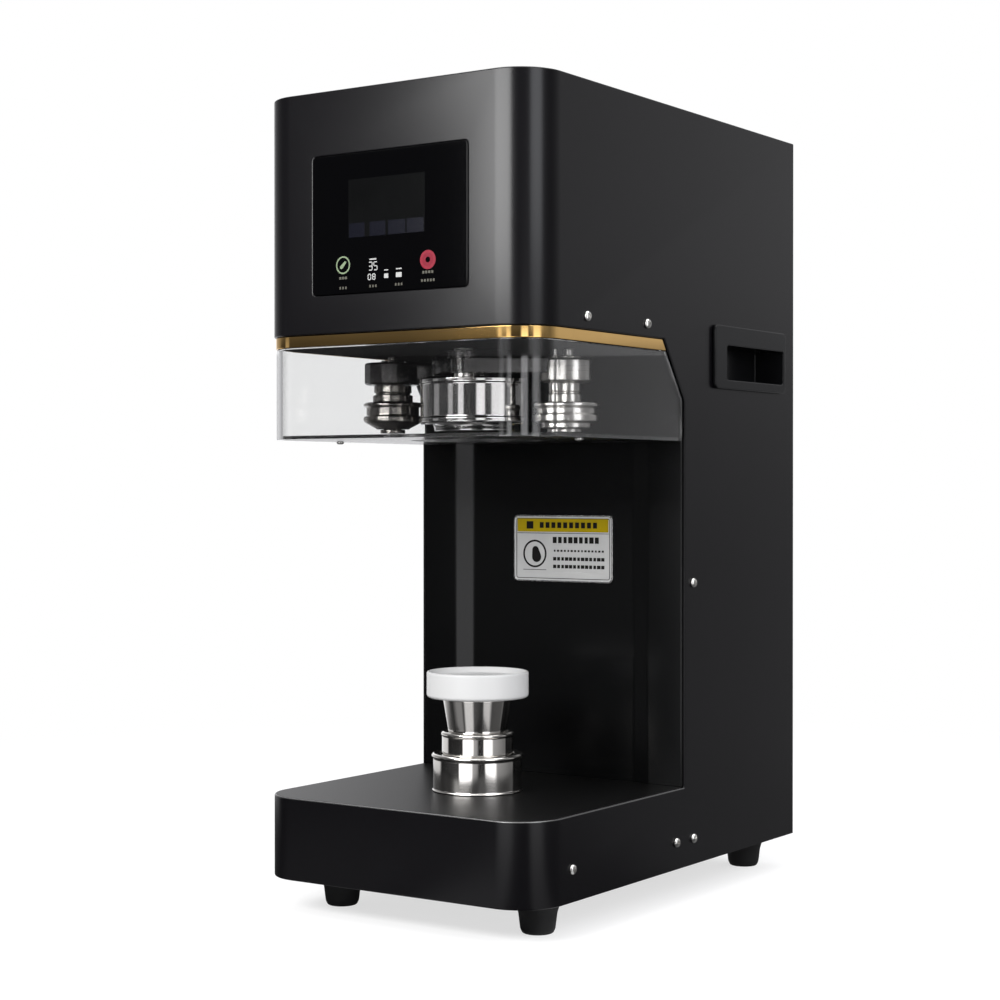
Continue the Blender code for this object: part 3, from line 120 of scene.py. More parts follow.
# ---------------------------------------------------------------- places, from the frame
shell_low, shell_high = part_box("outer_shell")
HALF_WIDTH = shell_high.x
FRONT_Y, REAR_Y = shell_low.y, shell_high.y
BODY_BOTTOM, TOP = shell_low.z, shell_high.z
DECK_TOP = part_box("base_deck")[1].z
TRIM_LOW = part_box("gold_trim_band")[0].z
HEAD_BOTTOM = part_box("gold_trim_band")[1].z + GAP
GUARD_LOW, GUARD_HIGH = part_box("guard_shell")[0].z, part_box("guard_shell")[1].z
THROAT_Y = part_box("column_front_panel")[0].y - GAP
TRAY_LOW, TRAY_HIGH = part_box("lift_tray")
AXIS_Y = (TRAY_LOW.y + TRAY_HIGH.y) / 2
AXIS = (0.0, AXIS_Y)
REACH = HALF_WIDTH * 1.2


# ---------------------------------------------------------------- outlines
def circle(centre, radius, steps, start=0.0):
    angles = [start + 2 * math.pi * i / steps for i in range(steps)]
    return [(centre[0] + radius * math.cos(a), centre[1] + radius * math.sin(a)) for a in angles]


def arc(centre, radius, start_deg, end_deg, steps):
    angles = [math.radians(start_deg + (end_deg - start_deg) * i / steps) for i in range(steps + 1)]
    return [(centre[0] + radius * math.cos(a), centre[1] + radius * math.sin(a)) for a in angles]


def rounded_rectangle(low, high, radius, steps=8):
    corners = (
        ((high[0] - radius, high[1] - radius), 0),
        ((low[0] + radius, high[1] - radius), 90),
        ((low[0] + radius, low[1] + radius), 180),
        ((high[0] - radius, low[1] + radius), 270),
    )
    points = []
    for centre, angle in corners:
        points += arc(centre, radius, angle, angle + 90, steps)
    return points


def soften(points, radius, closed=True, steps=4):
    """Rounds the corners of an outline or a turned profile, no wider than half of each side."""
    soft = []
    count = len(points)
    for i, corner in enumerate(points):
        if not closed and i in (0, count - 1):
            soft.append(corner)
            continue
        here = Vector(corner)
        before = Vector(points[i - 1]) - here
        after = Vector(points[(i + 1) % count]) - here
        start = here + before * min(radius / before.length, 0.48)
        end = here + after * min(radius / after.length, 0.48)
        for step in range(steps + 1):
            t = step / steps
            soft.append(tuple(start * (1 - t) ** 2 + here * 2 * t * (1 - t) + end * t**2))
    return soft


def capsule(start, end, start_radius, end_radius, steps=24):
    """A bar with round ends, as an outline."""
    angle = math.degrees(math.atan2(end[1] - start[1], end[0] - start[0]))
    length = math.dist(start, end)
    lean = math.degrees(math.asin((start_radius - end_radius) / length))
    around_end = arc(end, end_radius, angle - 90 + lean, angle + 90 - lean, steps)
    around_start = arc(start, start_radius, angle + 90 - lean, angle + 270 + lean, steps)
    return around_end + around_start


def wrap_path(inset, rear_y):
    """The U of a wall that wraps the front, seen from above, from the left rear to the right rear."""
    x = HALF_WIDTH - inset
    y = FRONT_Y + inset
    radius = CORNER_RADIUS - inset
    left = arc((-x + radius, y + radius), radius, 180, 270, CORNER_STEPS)
    right = arc((x - radius, y + radius), radius, 270, 360, CORNER_STEPS)
    return [(-x, rear_y)] + left + right + [(x, rear_y)]


def wrapped_wall(inset, thickness, rear_y):
    """The same U as a closed outline of a wall's thickness."""
    return wrap_path(inset, rear_y) + wrap_path(inset + thickness, rear_y)[::-1]


def throat_outline(rear_shift, top_z, bottom_z):
    """The side view of the open throat, with its sloping upper rear edge."""
    front = FRONT_Y - CORNER_RADIUS
    slope_end_z = HEAD_BOTTOM - THROAT_SLOPE_RISE
    top_y = THROAT_Y - (top_z - slope_end_z) * THROAT_SLOPE_RUN / THROAT_SLOPE_RISE
    return [
        (front, bottom_z),
        (THROAT_Y + rear_shift, bottom_z),
        (THROAT_Y + rear_shift, slope_end_z),
        (top_y + rear_shift, top_z),
        (front, top_z),
    ]


# ---------------------------------------------------------------- mesh helpers
PLANES = {
    "XY": Matrix.Identity(4),
    "YZ": Matrix(((0, 0, 1, 0), (1, 0, 0, 0), (0, 1, 0, 0), (0, 0, 0, 1))),
    "XZ": Matrix(((1, 0, 0, 0), (0, 0, 1, 0), (0, 1, 0, 0), (0, 0, 0, 1))),
}


def placed(name, data):
    obj = bpy.data.objects.new(name, data)
    bpy.context.scene.collection.objects.link(obj)
    return obj


def mesh_object(name, form):
    mesh = bpy.data.meshes.new(name)
    form.to_mesh(mesh)
    form.free()
    return placed(name, mesh)


def as_object(name, form):
    """A mesh object with its faces turned outwards."""
    bmesh.ops.recalc_face_normals(form, faces=form.faces)
    return mesh_object(name, form)


def crease(obj, angle=CREASE_DEG):
    """Marks the edges that fold by more than the angle as sharp."""
    obj.data.set_sharp_from_angle(angle=math.radians(angle))


def settle(obj):
    """Turns an object's modifiers into its plain mesh."""
    bpy.context.view_layer.update()
    graph = bpy.context.evaluated_depsgraph_get()
    mesh = bpy.data.meshes.new_from_object(obj.evaluated_get(graph), depsgraph=graph)
    obj.modifiers.clear()
    obj.data = mesh
    return obj


def slab(name, outlines, low, high, plane="XY"):
    """A flat piece: its outline and holes filled, and given its thickness."""
    curve = bpy.data.curves.new(name, "CURVE")
    curve.dimensions = "2D"
    curve.fill_mode = "BOTH"
    curve.extrude = abs(high - low) / 2
    for outline in outlines:
        spline = curve.splines.new("POLY")
        spline.points.add(len(outline) - 1)
        for point, (a, b) in zip(spline.points, outline):
            point.co = (a, b, 0.0, 1.0)
        spline.use_cyclic_u = True
    source = placed(name + "_outline", curve)
    graph = bpy.context.evaluated_depsgraph_get()
    mesh = bpy.data.meshes.new_from_object(source.evaluated_get(graph))
    bpy.data.objects.remove(source)
    form = bmesh.new()
    form.from_mesh(mesh)
    bmesh.ops.remove_doubles(form, verts=form.verts, dist=1e-6)
    bmesh.ops.translate(form, verts=form.verts, vec=(0, 0, (high + low) / 2))
    bmesh.ops.transform(form, matrix=PLANES[plane], verts=form.verts)
    return as_object(name, form)


def plate(name, low, high, radius, start, end, plane="XZ", steps=8):
    """A flat rectangular piece with round corners."""
    return slab(name, [rounded_rectangle(low, high, radius, steps)], start, end, plane)


def block(name, low, high):
    form = bmesh.new()
    bmesh.ops.create_cube(form, size=1.0)
    bmesh.ops.scale(form, vec=Vector(high) - Vector(low), verts=form.verts)
    bmesh.ops.translate(form, vec=(Vector(high) + Vector(low)) / 2, verts=form.verts)
    return as_object(name, form)


def held(profile, closed):
    """Adds points close to both ends of every long straight, so that it shades straight."""
    points = []
    for start, end in zip(profile, profile[1:] + profile[:1]):
        points.append(start)
        along = Vector(end) - Vector(start)
        if along.length > 4 * HOLD_DISTANCE:
            step = along.normalized() * HOLD_DISTANCE
            points += [tuple(Vector(start) + step), tuple(Vector(end) - step)]
    return points if closed else points[:points.index(profile[-1]) + 1]


def turned(name, profile, centre=(0.0, 0.0), steps=TURN_STEPS, closed=False, start=0.0):
    """A piece turned round a vertical axis from (radius, height) points."""
    form = bmesh.new()
    rings = []
    for radius, height in held(profile, closed):
        if radius < 1e-7:
            rings.append([form.verts.new((centre[0], centre[1], height))])
        else:
            outline = circle(centre, radius, steps, start)
            rings.append([form.verts.new((x, y, height)) for x, y in outline])
    pairs = list(zip(rings, rings[1:]))
    if closed:
        pairs.append((rings[-1], rings[0]))
    for upper, lower in pairs:
        for i in range(steps):
            j = (i + 1) % steps
            above = [upper[k % len(upper)] for k in (i, j)]
            below = [lower[k % len(lower)] for k in (j, i)]
            corners = list(dict.fromkeys(above + below))
            if len(corners) > 2:
                form.faces.new(corners)
    obj = as_object(name, form)
    obj.data.shade_smooth()
    crease(obj)
    return obj


def combine(obj, tools, operation="DIFFERENCE"):
    """Cuts, joins or intersects an object with each tool, and removes the tools."""
    for tool in tools:
        modifier = obj.modifiers.new(tool.name, "BOOLEAN")
        modifier.operation = operation
        modifier.solver = "EXACT"
        modifier.object = tool
    settle(obj)
    for tool in tools:
        bpy.data.objects.remove(tool)
    return obj


def round_edges(obj, width, segments=3, angle=38, shortest=0.0):
    """Rounds the edges that are long enough and keeps the flats flat."""
    form = bmesh.new()
    form.from_mesh(obj.data)
    bmesh.ops.remove_doubles(form, verts=form.verts, dist=1e-6)
    bmesh.ops.dissolve_limit(form, angle_limit=math.radians(0.5), verts=form.verts, edges=form.edges)
    weight = form.edges.layers.float.new("bevel_weight_edge")
    for edge in form.edges:
        folded = edge.is_manifold and edge.calc_face_angle() > math.radians(angle)
        rounded = folded and edge.calc_length() > shortest
        edge[weight] = float(rounded)
        edge.smooth = rounded or not folded
    form.to_mesh(obj.data)
    form.free()
    obj.data.shade_smooth()
    bevel = obj.modifiers.new("edges", "BEVEL")
    bevel.width = width
    bevel.segments = segments
    bevel.limit_method = "WEIGHT"
    bevel.harden_normals = True
    return settle(obj)


def join(name, objects):
    """Several meshes as one piece."""
    form = bmesh.new()
    for obj in objects:
        form.from_mesh(obj.data)
        bpy.data.objects.remove(obj)
    return mesh_object(name, form)


def centre_of(node):
    """The middle of a node's box, seen from above."""
    low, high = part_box(node)
    return ((low.x + high.x) / 2, (low.y + high.y) / 2)


def hand_over(obj, body, slot, material, *nodes):
    """Gives a finished piece its finish and its body, and hides what it stands for. The slot argument is
    not used.
    """
    obj.data.materials.clear()
    obj.data.materials.append(material)
    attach(obj, body)
    if nodes:
        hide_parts(*nodes)
    return obj


# ---------------------------------------------------------------- geometry nodes: repeated fittings
def add_node(tree, kind, given=None, **settings):
    """A node with its settings, and its inputs given as plain values or as other nodes' outputs."""
    node = tree.nodes.new(kind)
    for name, value in settings.items():
        setattr(node, name, value)
    for name, value in (given or {}).items():
        if isinstance(value, bpy.types.NodeSocket):
            tree.links.new(value, node.inputs[name])
        else:
            node.inputs[name].default_value = value
    return node


def named_vector(tree, name):
    node = add_node(tree, "GeometryNodeInputNamedAttribute", data_type="FLOAT_VECTOR")
    node.inputs["Name"].default_value = name
    return node.outputs["Attribute"]


def repeat_tree():
    """Copies one fitting onto every point, turned and stretched as the point's attributes say."""
    tree = bpy.data.node_groups.new("repeat_fitting", "GeometryNodeTree")
    for label, kind in (
        ("Points", "Geometry"), ("Fitting", "Object"), ("Size", "Float"), ("Finish", "Material")
    ):
        tree.interface.new_socket(label, in_out="INPUT", socket_type="NodeSocket" + kind)
    tree.interface.new_socket("Fittings", in_out="OUTPUT", socket_type="NodeSocketGeometry")
    given = add_node(tree, "NodeGroupInput").outputs
    fitting = add_node(tree, "GeometryNodeObjectInfo", {"Object": given["Fitting"]})
    rotation = add_node(tree, "FunctionNodeEulerToRotation", {0: named_vector(tree, "turn")})
    scale = add_node(
        tree, "ShaderNodeVectorMath", {0: named_vector(tree, "stretch"), "Scale": given["Size"]},
        operation="SCALE",
    )
    copies = add_node(tree, "GeometryNodeInstanceOnPoints", {
        "Points": given["Points"],
        "Instance": fitting.outputs["Geometry"],
        "Rotation": rotation.outputs[0],
        "Scale": scale.outputs["Vector"],
    })
    real = add_node(tree, "GeometryNodeRealizeInstances", {"Geometry": copies.outputs["Instances"]})
    painted = add_node(tree, "GeometryNodeSetMaterial", {
        "Geometry": real.outputs["Geometry"],
        "Material": given["Finish"],
    })
    add_node(tree, "NodeGroupOutput", {"Fittings": painted.outputs["Geometry"]})
    return tree


REPEAT = repeat_tree()


def repeat_fitting(name, fitting, places, material, size=1.0):
    """places: (position, turn, stretch) for each copy; the fitting is modelled at the origin."""
    mesh = bpy.data.meshes.new(name)
    mesh.from_pydata([tuple(position) for position, turn, stretch in places], [], [])
    for label, column in (("turn", 1), ("stretch", 2)):
        values = mesh.attributes.new(label, "FLOAT_VECTOR", "POINT")
        for i, row in enumerate(places):
            values.data[i].vector = row[column]
    obj = placed(name, mesh)
    modifier = obj.modifiers.new("repeat", "NODES")
    modifier.node_group = REPEAT
    given = {"Fitting": fitting, "Size": size, "Finish": material}
    for socket in REPEAT.interface.items_tree:
        if socket.name in given:
            modifier[socket.identifier] = given[socket.name]
    settle(obj)
    bpy.data.objects.remove(fitting)
    return obj


UPRIGHT = (0.0, 0.0, 0.0)
WHOLE = (1.0, 1.0, 1.0)


# ---------------------------------------------------------------- finishes
def mixed_colour(tree, factor, first, second):
    """Two colours mixed by a factor."""
    node = add_node(
        tree, "ShaderNodeMix", {"Factor": factor, "A": first, "B": second}, data_type="RGBA"
    )
    return node.outputs["Result"]


def finish(
    name,
    colour,
    roughness,
    metallic=0.0,
    shade=0.12,
    patch_scale=18.0,
    grain_scale=900.0,
    grain_stretch=(1.0, 1.0, 1.0),
    roughness_spread=0.04,
    relief=0.0,
    specular=0.5,
    turned_grain=0.0,
):
    """A surface with drifting shade, a fine grain that also varies its gloss, and slight relief."""
    material = bpy.data.materials.new(name)
    material.use_nodes = True
    tree = material.node_tree
    shader = tree.nodes["Principled BSDF"]
    where = add_node(tree, "ShaderNodeTexCoord").outputs["Object"]
    drawn_out = add_node(tree, "ShaderNodeMapping", {"Vector": where, "Scale": grain_stretch})
    patches = add_node(
        tree, "ShaderNodeTexNoise", {"Vector": where, "Scale": patch_scale, "Detail": 3.0}
    )
    grain = add_node(tree, "ShaderNodeTexNoise", {
        "Vector": drawn_out.outputs["Vector"], "Scale": grain_scale, "Detail": 2.0,
    })
    tone = add_node(tree, "ShaderNodeMapRange", {
        "Value": patches.outputs["Fac"], "From Min": 0.3, "From Max": 0.7,
    })
    darker = [c * (1 - shade) for c in colour]
    lighter = [min(1.0, c * (1 + shade)) for c in colour]
    blend = mixed_colour(tree, tone.outputs["Result"], (*darker, 1.0), (*lighter, 1.0))
    tree.links.new(blend, shader.inputs["Base Color"])
    gloss = add_node(tree, "ShaderNodeMapRange", {
        "Value": grain.outputs["Fac"],
        "From Min": 0.25,
        "From Max": 0.75,
        "To Min": max(0.01, roughness - roughness_spread),
        "To Max": roughness + roughness_spread,
    })
    tree.links.new(gloss.outputs["Result"], shader.inputs["Roughness"])
    if relief:
        bump = add_node(tree, "ShaderNodeBump", {
            "Strength": 1.0, "Distance": relief, "Height": grain.outputs["Fac"],
        })
        tree.links.new(bump.outputs["Normal"], shader.inputs["Normal"])
    shader.inputs["Metallic"].default_value = metallic
    shader.inputs["Specular IOR Level"].default_value = specular
    if turned_grain:
        around = add_node(tree, "ShaderNodeTangent", direction_type="RADIAL", axis="Z")
        tree.links.new(around.outputs["Tangent"], shader.inputs["Tangent"])
        shader.inputs["Anisotropic"].default_value = turned_grain
        shader.inputs["Anisotropic Rotation"].default_value = 0.25
    return material


def clear_acrylic(name, tint, roughness):
    material = finish(name, tint, roughness, shade=0.01, patch_scale=9.0, roughness_spread=0.008)
    shader = material.node_tree.nodes["Principled BSDF"]
    shader.inputs["Transmission Weight"].default_value = 1.0
    shader.inputs["IOR"].default_value = 1.49
    return material


def coat(name, colour, roughness, specular, shade=0.10, spread=0.02, relief=0.0000012, patch_scale=18.0):
    """Powder coat on sheet metal."""
    return finish(
        name, colour, roughness, shade=shade, patch_scale=patch_scale, grain_scale=2200.0,
        roughness_spread=spread, relief=relief, specular=specular,
    )


def turned_steel(name, colour, roughness, spread, grain, shade=0.03, grain_scale=5200.0, line=0.004):
    """Steel with fine lines round its axis."""
    return finish(
        name, colour, roughness, metallic=1.0, shade=shade, grain_scale=grain_scale,
        grain_stretch=(line, line, 1.0), roughness_spread=spread, turned_grain=grain,
    )


POWDER_COAT = coat("black_powder_coat", (0.0024, 0.0022, 0.0028), 0.23, 0.22, shade=0.08)
DECK_COAT = coat("deck_powder_coat", (0.0024, 0.0024, 0.0025), 0.36, 0.13, shade=0.08)
LID_COAT = coat(
    "lid_powder_coat", (0.0040, 0.0039, 0.0042), 0.60, 0.02, spread=0.04, relief=0.000002,
    patch_scale=14.0,
)
# A coat much lighter and glossier than the black body coat, for the strip on the deck's front edge: a
# painted highlight line.
EDGE_HIGHLIGHT_COAT = coat(
    "edge_highlight_coat", (0.020, 0.020, 0.020), 0.24, 1.0, spread=0.03, relief=0.0, patch_scale=60.0
)
# The column's front panel: the body's black coat made darker for the shade in the throat under the head;
# painted shade.
SHADED_COLUMN_COAT = coat("shaded_column_coat", (0.0014, 0.0015, 0.0016), 0.24, 0.22)
FLOOR_COAT = coat(
    "head_floor_coat", (0.0110, 0.0106, 0.0104), 0.60, 0.0, spread=0.05, relief=0.000002
)
GOLD = finish(
    "gold_anodised", (0.80, 0.51, 0.185), 0.055, metallic=1.0, shade=0.03, patch_scale=30.0,
    grain_scale=900.0, grain_stretch=(0.04, 0.04, 1.0), roughness_spread=0.01,
)
POLISHED = turned_steel("polished_steel", (0.68, 0.66, 0.63), 0.085, 0.02, 0.95)
CHUCK_STEEL = turned_steel("bright_turned_steel", (0.50, 0.49, 0.48), 0.055, 0.012, 0.95)
SATIN_STEEL = turned_steel(
    "satin_steel", (0.58, 0.565, 0.54), 0.30, 0.04, 0.85, shade=0.08, grain_scale=4200.0, line=0.006
)
OILED_STEEL = turned_steel(
    "oiled_steel", (0.26, 0.247, 0.230), 0.18, 0.03, 0.9, shade=0.08, grain_scale=4200.0, line=0.006
)
DARK_STEEL = finish(
    "blackened_steel", (0.085, 0.083, 0.082), 0.22, metallic=1.0, shade=0.2, patch_scale=60.0,
    grain_scale=3200.0, grain_stretch=(0.01, 0.01, 1.0), roughness_spread=0.05, relief=0.000001,
)
PLATED = finish(
    "zinc_plated_steel", (0.42, 0.43, 0.44), 0.36, metallic=1.0, shade=0.14, patch_scale=90.0,
    grain_scale=1200.0, roughness_spread=0.08, relief=0.000003,
)
SCREW_STEEL = finish(
    "stainless_screws", (0.66, 0.65, 0.63), 0.17, metallic=1.0, shade=0.06, grain_scale=2500.0,
    roughness_spread=0.05, relief=0.000001,
)
RUBBER = finish(
    "foot_rubber", (0.0085, 0.0085, 0.0087), 0.62, shade=0.2, grain_scale=1800.0,
    roughness_spread=0.08, relief=0.00001, specular=0.25,
)
WHITE_PLASTIC = finish(
    "white_plastic", (0.47, 0.47, 0.467), 0.42, shade=0.012, patch_scale=12.0, grain_scale=1500.0,
    roughness_spread=0.04, relief=0.000003, specular=0.4,
)
GLOSS_BLACK = finish(
    "moulded_black", (0.0036, 0.0037, 0.0042), 0.20, shade=0.1, grain_scale=1400.0,
    roughness_spread=0.03, relief=0.000002, specular=0.18,
)
PANEL_GLASS = finish(
    "black_panel_glass", (0.0006, 0.0006, 0.0008), 0.05, shade=0.1, patch_scale=10.0,
    grain_scale=300.0, roughness_spread=0.01, specular=0.14,
)
CIRCUIT = finish(
    "solder_mask", (0.02, 0.11, 0.05), 0.38, shade=0.35, patch_scale=160.0, grain_scale=1400.0,
    roughness_spread=0.1, relief=0.000008,
)
GUARD_CLEAR = clear_acrylic("clear_acrylic", (0.975, 0.978, 0.98), 0.012)
GUARD_FLOOR_CLEAR = clear_acrylic("smoked_acrylic", (0.42, 0.42, 0.42), 0.22)


# ---------------------------------------------------------------- body
SIDE_SCREWS = [
    f"{place}_screw_{side}"
    for place in ("head_front", "head_rear", "column", "base_front", "base_middle", "base_rear")
    for side in ("left", "right")
]
GUARD_SCREWS = ("guard_screw_left", "guard_screw_right")
FEET = [f"foot_{row}_{side}" for row in ("front", "rear") for side in ("left", "right")]


def side_screw_places():
    """Where each side screw meets its panel, as (side, y, z)."""
    places = []
    for name in SIDE_SCREWS:
        low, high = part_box(name)
        side = 1 if name.endswith("right") else -1
        places.append((side, (low.y + high.y) / 2, (low.z + high.z) / 2))
    return places


def screw_holes():
    return [
        slab("screw_hole", [circle((y, z), SCREW_HOLE_RADIUS, 24)], -REACH, REACH, "YZ")
        for side, y, z in side_screw_places()
        if side > 0
    ]


def make_shell():
    walls = wrapped_wall(0.0, SHEET, REAR_Y)
    shell = slab("body_shell", [walls], BODY_BOTTOM, TOP - SEAM_STEP)
    throat = slab("throat", [throat_outline(0.0, HEAD_BOTTOM, DECK_TOP - SEAM_STEP)], -REACH, REACH, "YZ")
    low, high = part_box("touch_panel_glass")
    window = plate(
        "panel_window", (low.x - GAP, low.z - GAP), (high.x + GAP, high.z + GAP), WINDOW_CORNER,
        FRONT_Y - CORNER_RADIUS, FRONT_Y + CORNER_RADIUS / 2, steps=3,
    )
    low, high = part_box("handle_cup_right")
    handle = block(
        "handle_window",
        (-REACH, low.y + HANDLE_LIP, low.z + HANDLE_LIP),
        (REACH, high.y - HANDLE_LIP / 2, high.z - HANDLE_LIP),
    )
    combine(shell, [throat, window, handle] + screw_holes())
    round_edges(shell, SHEET_EDGE, 4, shortest=SHORTEST_FOLD)
    hand_over(shell, "frame", "body_black", POWDER_COAT, "outer_shell")

    lid = slab("top_lid", [wrap_path(SEAM_INSET, REAR_Y - SEAM_INSET)], TOP - SHEET, TOP)
    hand_over(lid, "frame", "body_black", LID_COAT, "top_cover")


def make_deck():
    low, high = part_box("base_deck")
    hole = circle(AXIS, DECK_HOLE_RADIUS, TURN_STEPS)
    deck = slab("deck_plate", [wrap_path(SEAM_INSET, high.y), hole], low.z, high.z)
    hand_over(deck, "frame", "body_black", DECK_COAT, "base_deck")

    # A thin proud strip over the rounding of the deck's front edge, in the lighter edge coat, paints a
    # highlight line along it.
    corner = DECK_TOP - SEAM_STEP - SHEET_EDGE
    section = []
    outside = SHEET_EDGE + EDGE_PROUD
    for radius, start, end in ((outside, 13, 84), (outside - EDGE_DEPTH, 84, 13)):
        for reach, rise in arc((0.0, 0.0), radius, start, end, EDGE_STEPS):
            section.append((SHEET_EDGE - reach, corner + rise))
    form = bmesh.new()
    rows = []
    for inset, z in section:
        rows.append([form.verts.new((x, y, z)) for x, y in wrap_path(inset, THROAT_Y - GAP)])
    for row, beside in zip(rows, rows[1:] + rows[:1]):
        for i in range(len(row) - 1):
            form.faces.new((row[i], row[i + 1], beside[i + 1], beside[i]))
    form.faces.new([row[0] for row in rows])
    form.faces.new([row[-1] for row in reversed(rows)])
    edge = as_object("deck_edge", form)
    edge.data.shade_smooth()
    crease(edge, 40)
    hand_over(edge, "frame", "body_black", EDGE_HIGHLIGHT_COAT, "outer_shell")

    low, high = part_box("bottom_plate")
    outer = wrap_path(LINING, high.y)
    inner = wrap_path(LINING + SHEET, high.y - SHEET)
    floor = slab("underside_pan", [outer], low.z, low.z + SHEET)
    walls = slab("pan_walls", [outer, inner], low.z + SHEET / 2, high.z)
    combine(floor, [walls], "UNION")
    combine(floor, screw_holes())
    round_edges(floor, 0.0005, 2)
    hand_over(floor, "frame", "body_black", POWDER_COAT, "bottom_plate")


def make_column():
    low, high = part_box("column_front_panel")
    step = COLUMN_RECESS_HALF_WIDTH
    slant = step + COLUMN_SLANT_WIDTH
    front = low.y
    front_path = [
        (low.x, high.y),
        (low.x, front),
        (-slant, front),
        (-step, front + COLUMN_RECESS),
        (step, front + COLUMN_RECESS),
        (slant, front),
        (high.x, front),
        (high.x, high.y),
    ]
    path = soften(front_path, COLUMN_FOLD_RADIUS, closed=False, steps=5)
    form = bmesh.new()
    rows = [[form.verts.new((x, y, z)) for x, y in path] for z in (low.z, high.z)]
    for i in range(len(path) - 1):
        form.faces.new((rows[0][i], rows[0][i + 1], rows[1][i + 1], rows[1][i]))
    column = mesh_object("column_front", form)
    wall = column.modifiers.new("thickness", "SOLIDIFY")
    wall.thickness = COLUMN_SHEET
    wall.offset = -1.0
    settle(column)
    combine(column, screw_holes())
    column.data.shade_smooth()
    crease(column, 35)
    # The darker coat paints the shade that falls on the column under the head.
    hand_over(column, "frame", "body_black", SHADED_COLUMN_COAT, "column_front_panel")


def make_rear():
    low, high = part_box("rear_cover")
    outlines = [rounded_rectangle((low.x, low.z), (high.x, high.z), 0.001, 4)]
    inlet_low, inlet_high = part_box("power_inlet")
    opening_low = (inlet_low.x + INLET_OPENING_LIP, inlet_low.z + INLET_OPENING_LIP)
    opening_high = (inlet_high.x - INLET_OPENING_LIP, inlet_high.z - INLET_OPENING_LIP)
    outlines.append(rounded_rectangle(opening_low, opening_high, 0.0006, 3))
    vent_top = TOP - VENT_BELOW_TOP
    for i in range(VENT_COUNT):
        x = (i - (VENT_COUNT - 1) / 2) * VENT_PITCH
        vent_low = (x - VENT_WIDTH / 2, vent_top - VENT_HEIGHT)
        outlines.append(rounded_rectangle(vent_low, (x + VENT_WIDTH / 2, vent_top), VENT_WIDTH * 0.499))
    cover = slab("rear_panel", outlines, low.y, high.y, "XZ")
    round_edges(cover, 0.0005, 2)
    hand_over(cover, "frame", "body_black", POWDER_COAT, "rear_cover")

    across = high.x - COVER_SCREW_MARGIN
    heights = [low.z + COVER_SCREW_MARGIN, (low.z + high.z) / 2, high.z - COVER_SCREW_MARGIN]
    places = [
        ((side * across, high.y, z), (-math.pi / 2, 0.0, 0.3 * side), WHOLE)
        for side in (-1, 1)
        for z in heights
    ]
    screws = repeat_fitting("rear_cover_screws", cross_screw(), places, SCREW_STEEL, COVER_SCREW_SIZE)
    hand_over(screws, "frame", "screw_steel", SCREW_STEEL)


# ---------------------------------------------------------------- screws and feet
def hex_socket_screw(head_radius, head_height, shank_length):
    """A button head with a hexagon socket, standing on the origin, its shank below."""
    profile = [
        (0.0, head_height),
        (head_radius * 0.62, head_height),
        (head_radius * 0.93, head_height * 0.52),
        (head_radius, 0.0),
        (SCREW_SHANK_RADIUS, 0.0),
        (SCREW_SHANK_RADIUS, -shank_length),
        (0.0, -shank_length),
    ]
    soft = soften(profile, head_height * 0.3, closed=False)
    screw = turned("side_screw", soft, steps=SMALL_TURN_STEPS)
    drilled = [
        (0.0, 2 * head_height),
        (SCREW_SOCKET_RADIUS, 2 * head_height),
        (SCREW_SOCKET_RADIUS, head_height - SCREW_SOCKET_DEPTH),
        (0.0, head_height - SCREW_SOCKET_DEPTH * 1.25),
    ]
    combine(screw, [turned("hex_socket", drilled, steps=6)])
    crease(screw)
    return screw


def cross_screw():
    """A low pan head with a crossed slot, standing on the origin."""
    radius, height = COVER_SCREW_RADIUS, COVER_SCREW_HEIGHT
    dome = [(0.0, height), (radius * 0.6, height * 0.93), (radius, height * 0.3)]
    dome += [(radius, 0.0), (0.0, 0.0)]
    screw = turned("cover_screw", soften(dome, 0.0007, closed=False), steps=SMALL_TURN_STEPS)
    half, arm = CROSS_HALF_WIDTH, CROSS_ARM
    slots = [
        block("slot_a", (-half, -arm, height * 0.4), (half, arm, 2 * height)),
        block("slot_b", (-arm, -half, height * 0.41), (arm, half, 2 * height)),
    ]
    combine(screw, slots)
    crease(screw)
    return screw


def make_side_screws():
    places = []
    for number, (side, y, z) in enumerate(side_screw_places()):
        turn = Matrix.Rotation(side * math.pi / 2, 4, "Y") @ Matrix.Rotation(0.7 * number, 4, "Z")
        places.append(((side * (HALF_WIDTH + GAP), y, z), tuple(turn.to_euler()), WHOLE))
    low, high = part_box(SIDE_SCREWS[0])
    length = high.x - low.x
    fitting = hex_socket_screw(SCREW_HEAD_RADIUS, SCREW_HEAD_HEIGHT, length - SCREW_HEAD_HEIGHT)
    screws = repeat_fitting("side_screws", fitting, places, SCREW_STEEL)
    hand_over(screws, "frame", "screw_steel", SCREW_STEEL, *SIDE_SCREWS)


def make_guard_screws():
    seat = GUARD_LOW - GAP
    places = [((*centre_of(name), seat), (math.pi, 0.0, 0.4), WHOLE) for name in GUARD_SCREWS]
    low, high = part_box(GUARD_SCREWS[0])
    head = seat - low.z
    fitting = hex_socket_screw((high.x - low.x) / 2, head, high.z - low.z - head)
    screws = repeat_fitting("guard_screws", fitting, places, SCREW_STEEL)
    hand_over(screws, "frame", "screw_steel", SCREW_STEEL, *GUARD_SCREWS)


def make_feet():
    low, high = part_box(FEET[0])
    radius = (high.x - low.x) / 2
    top = high.z
    profile = [
        (0.0, top),
        (radius, top),
        (radius, top * 0.80),
        (FOOT_WAIST_RADIUS, top * 0.55),
        (FOOT_SOLE_RADIUS + 0.0015, 0.0030),
        (FOOT_SOLE_RADIUS, 0.0),
        (FOOT_RECESS_RADIUS, 0.0),
        (FOOT_RECESS_RADIUS, FOOT_RECESS_DEPTH),
        (0.0, FOOT_RECESS_DEPTH),
    ]
    foot = turned("foot", soften(profile, 0.0012, closed=False), steps=64)
    places = [((*centre_of(name), 0.0), UPRIGHT, WHOLE) for name in FEET]
    feet = repeat_fitting("rubber_feet", foot, places, RUBBER)
    hand_over(feet, "frame", "foot_rubber", RUBBER, *FEET)


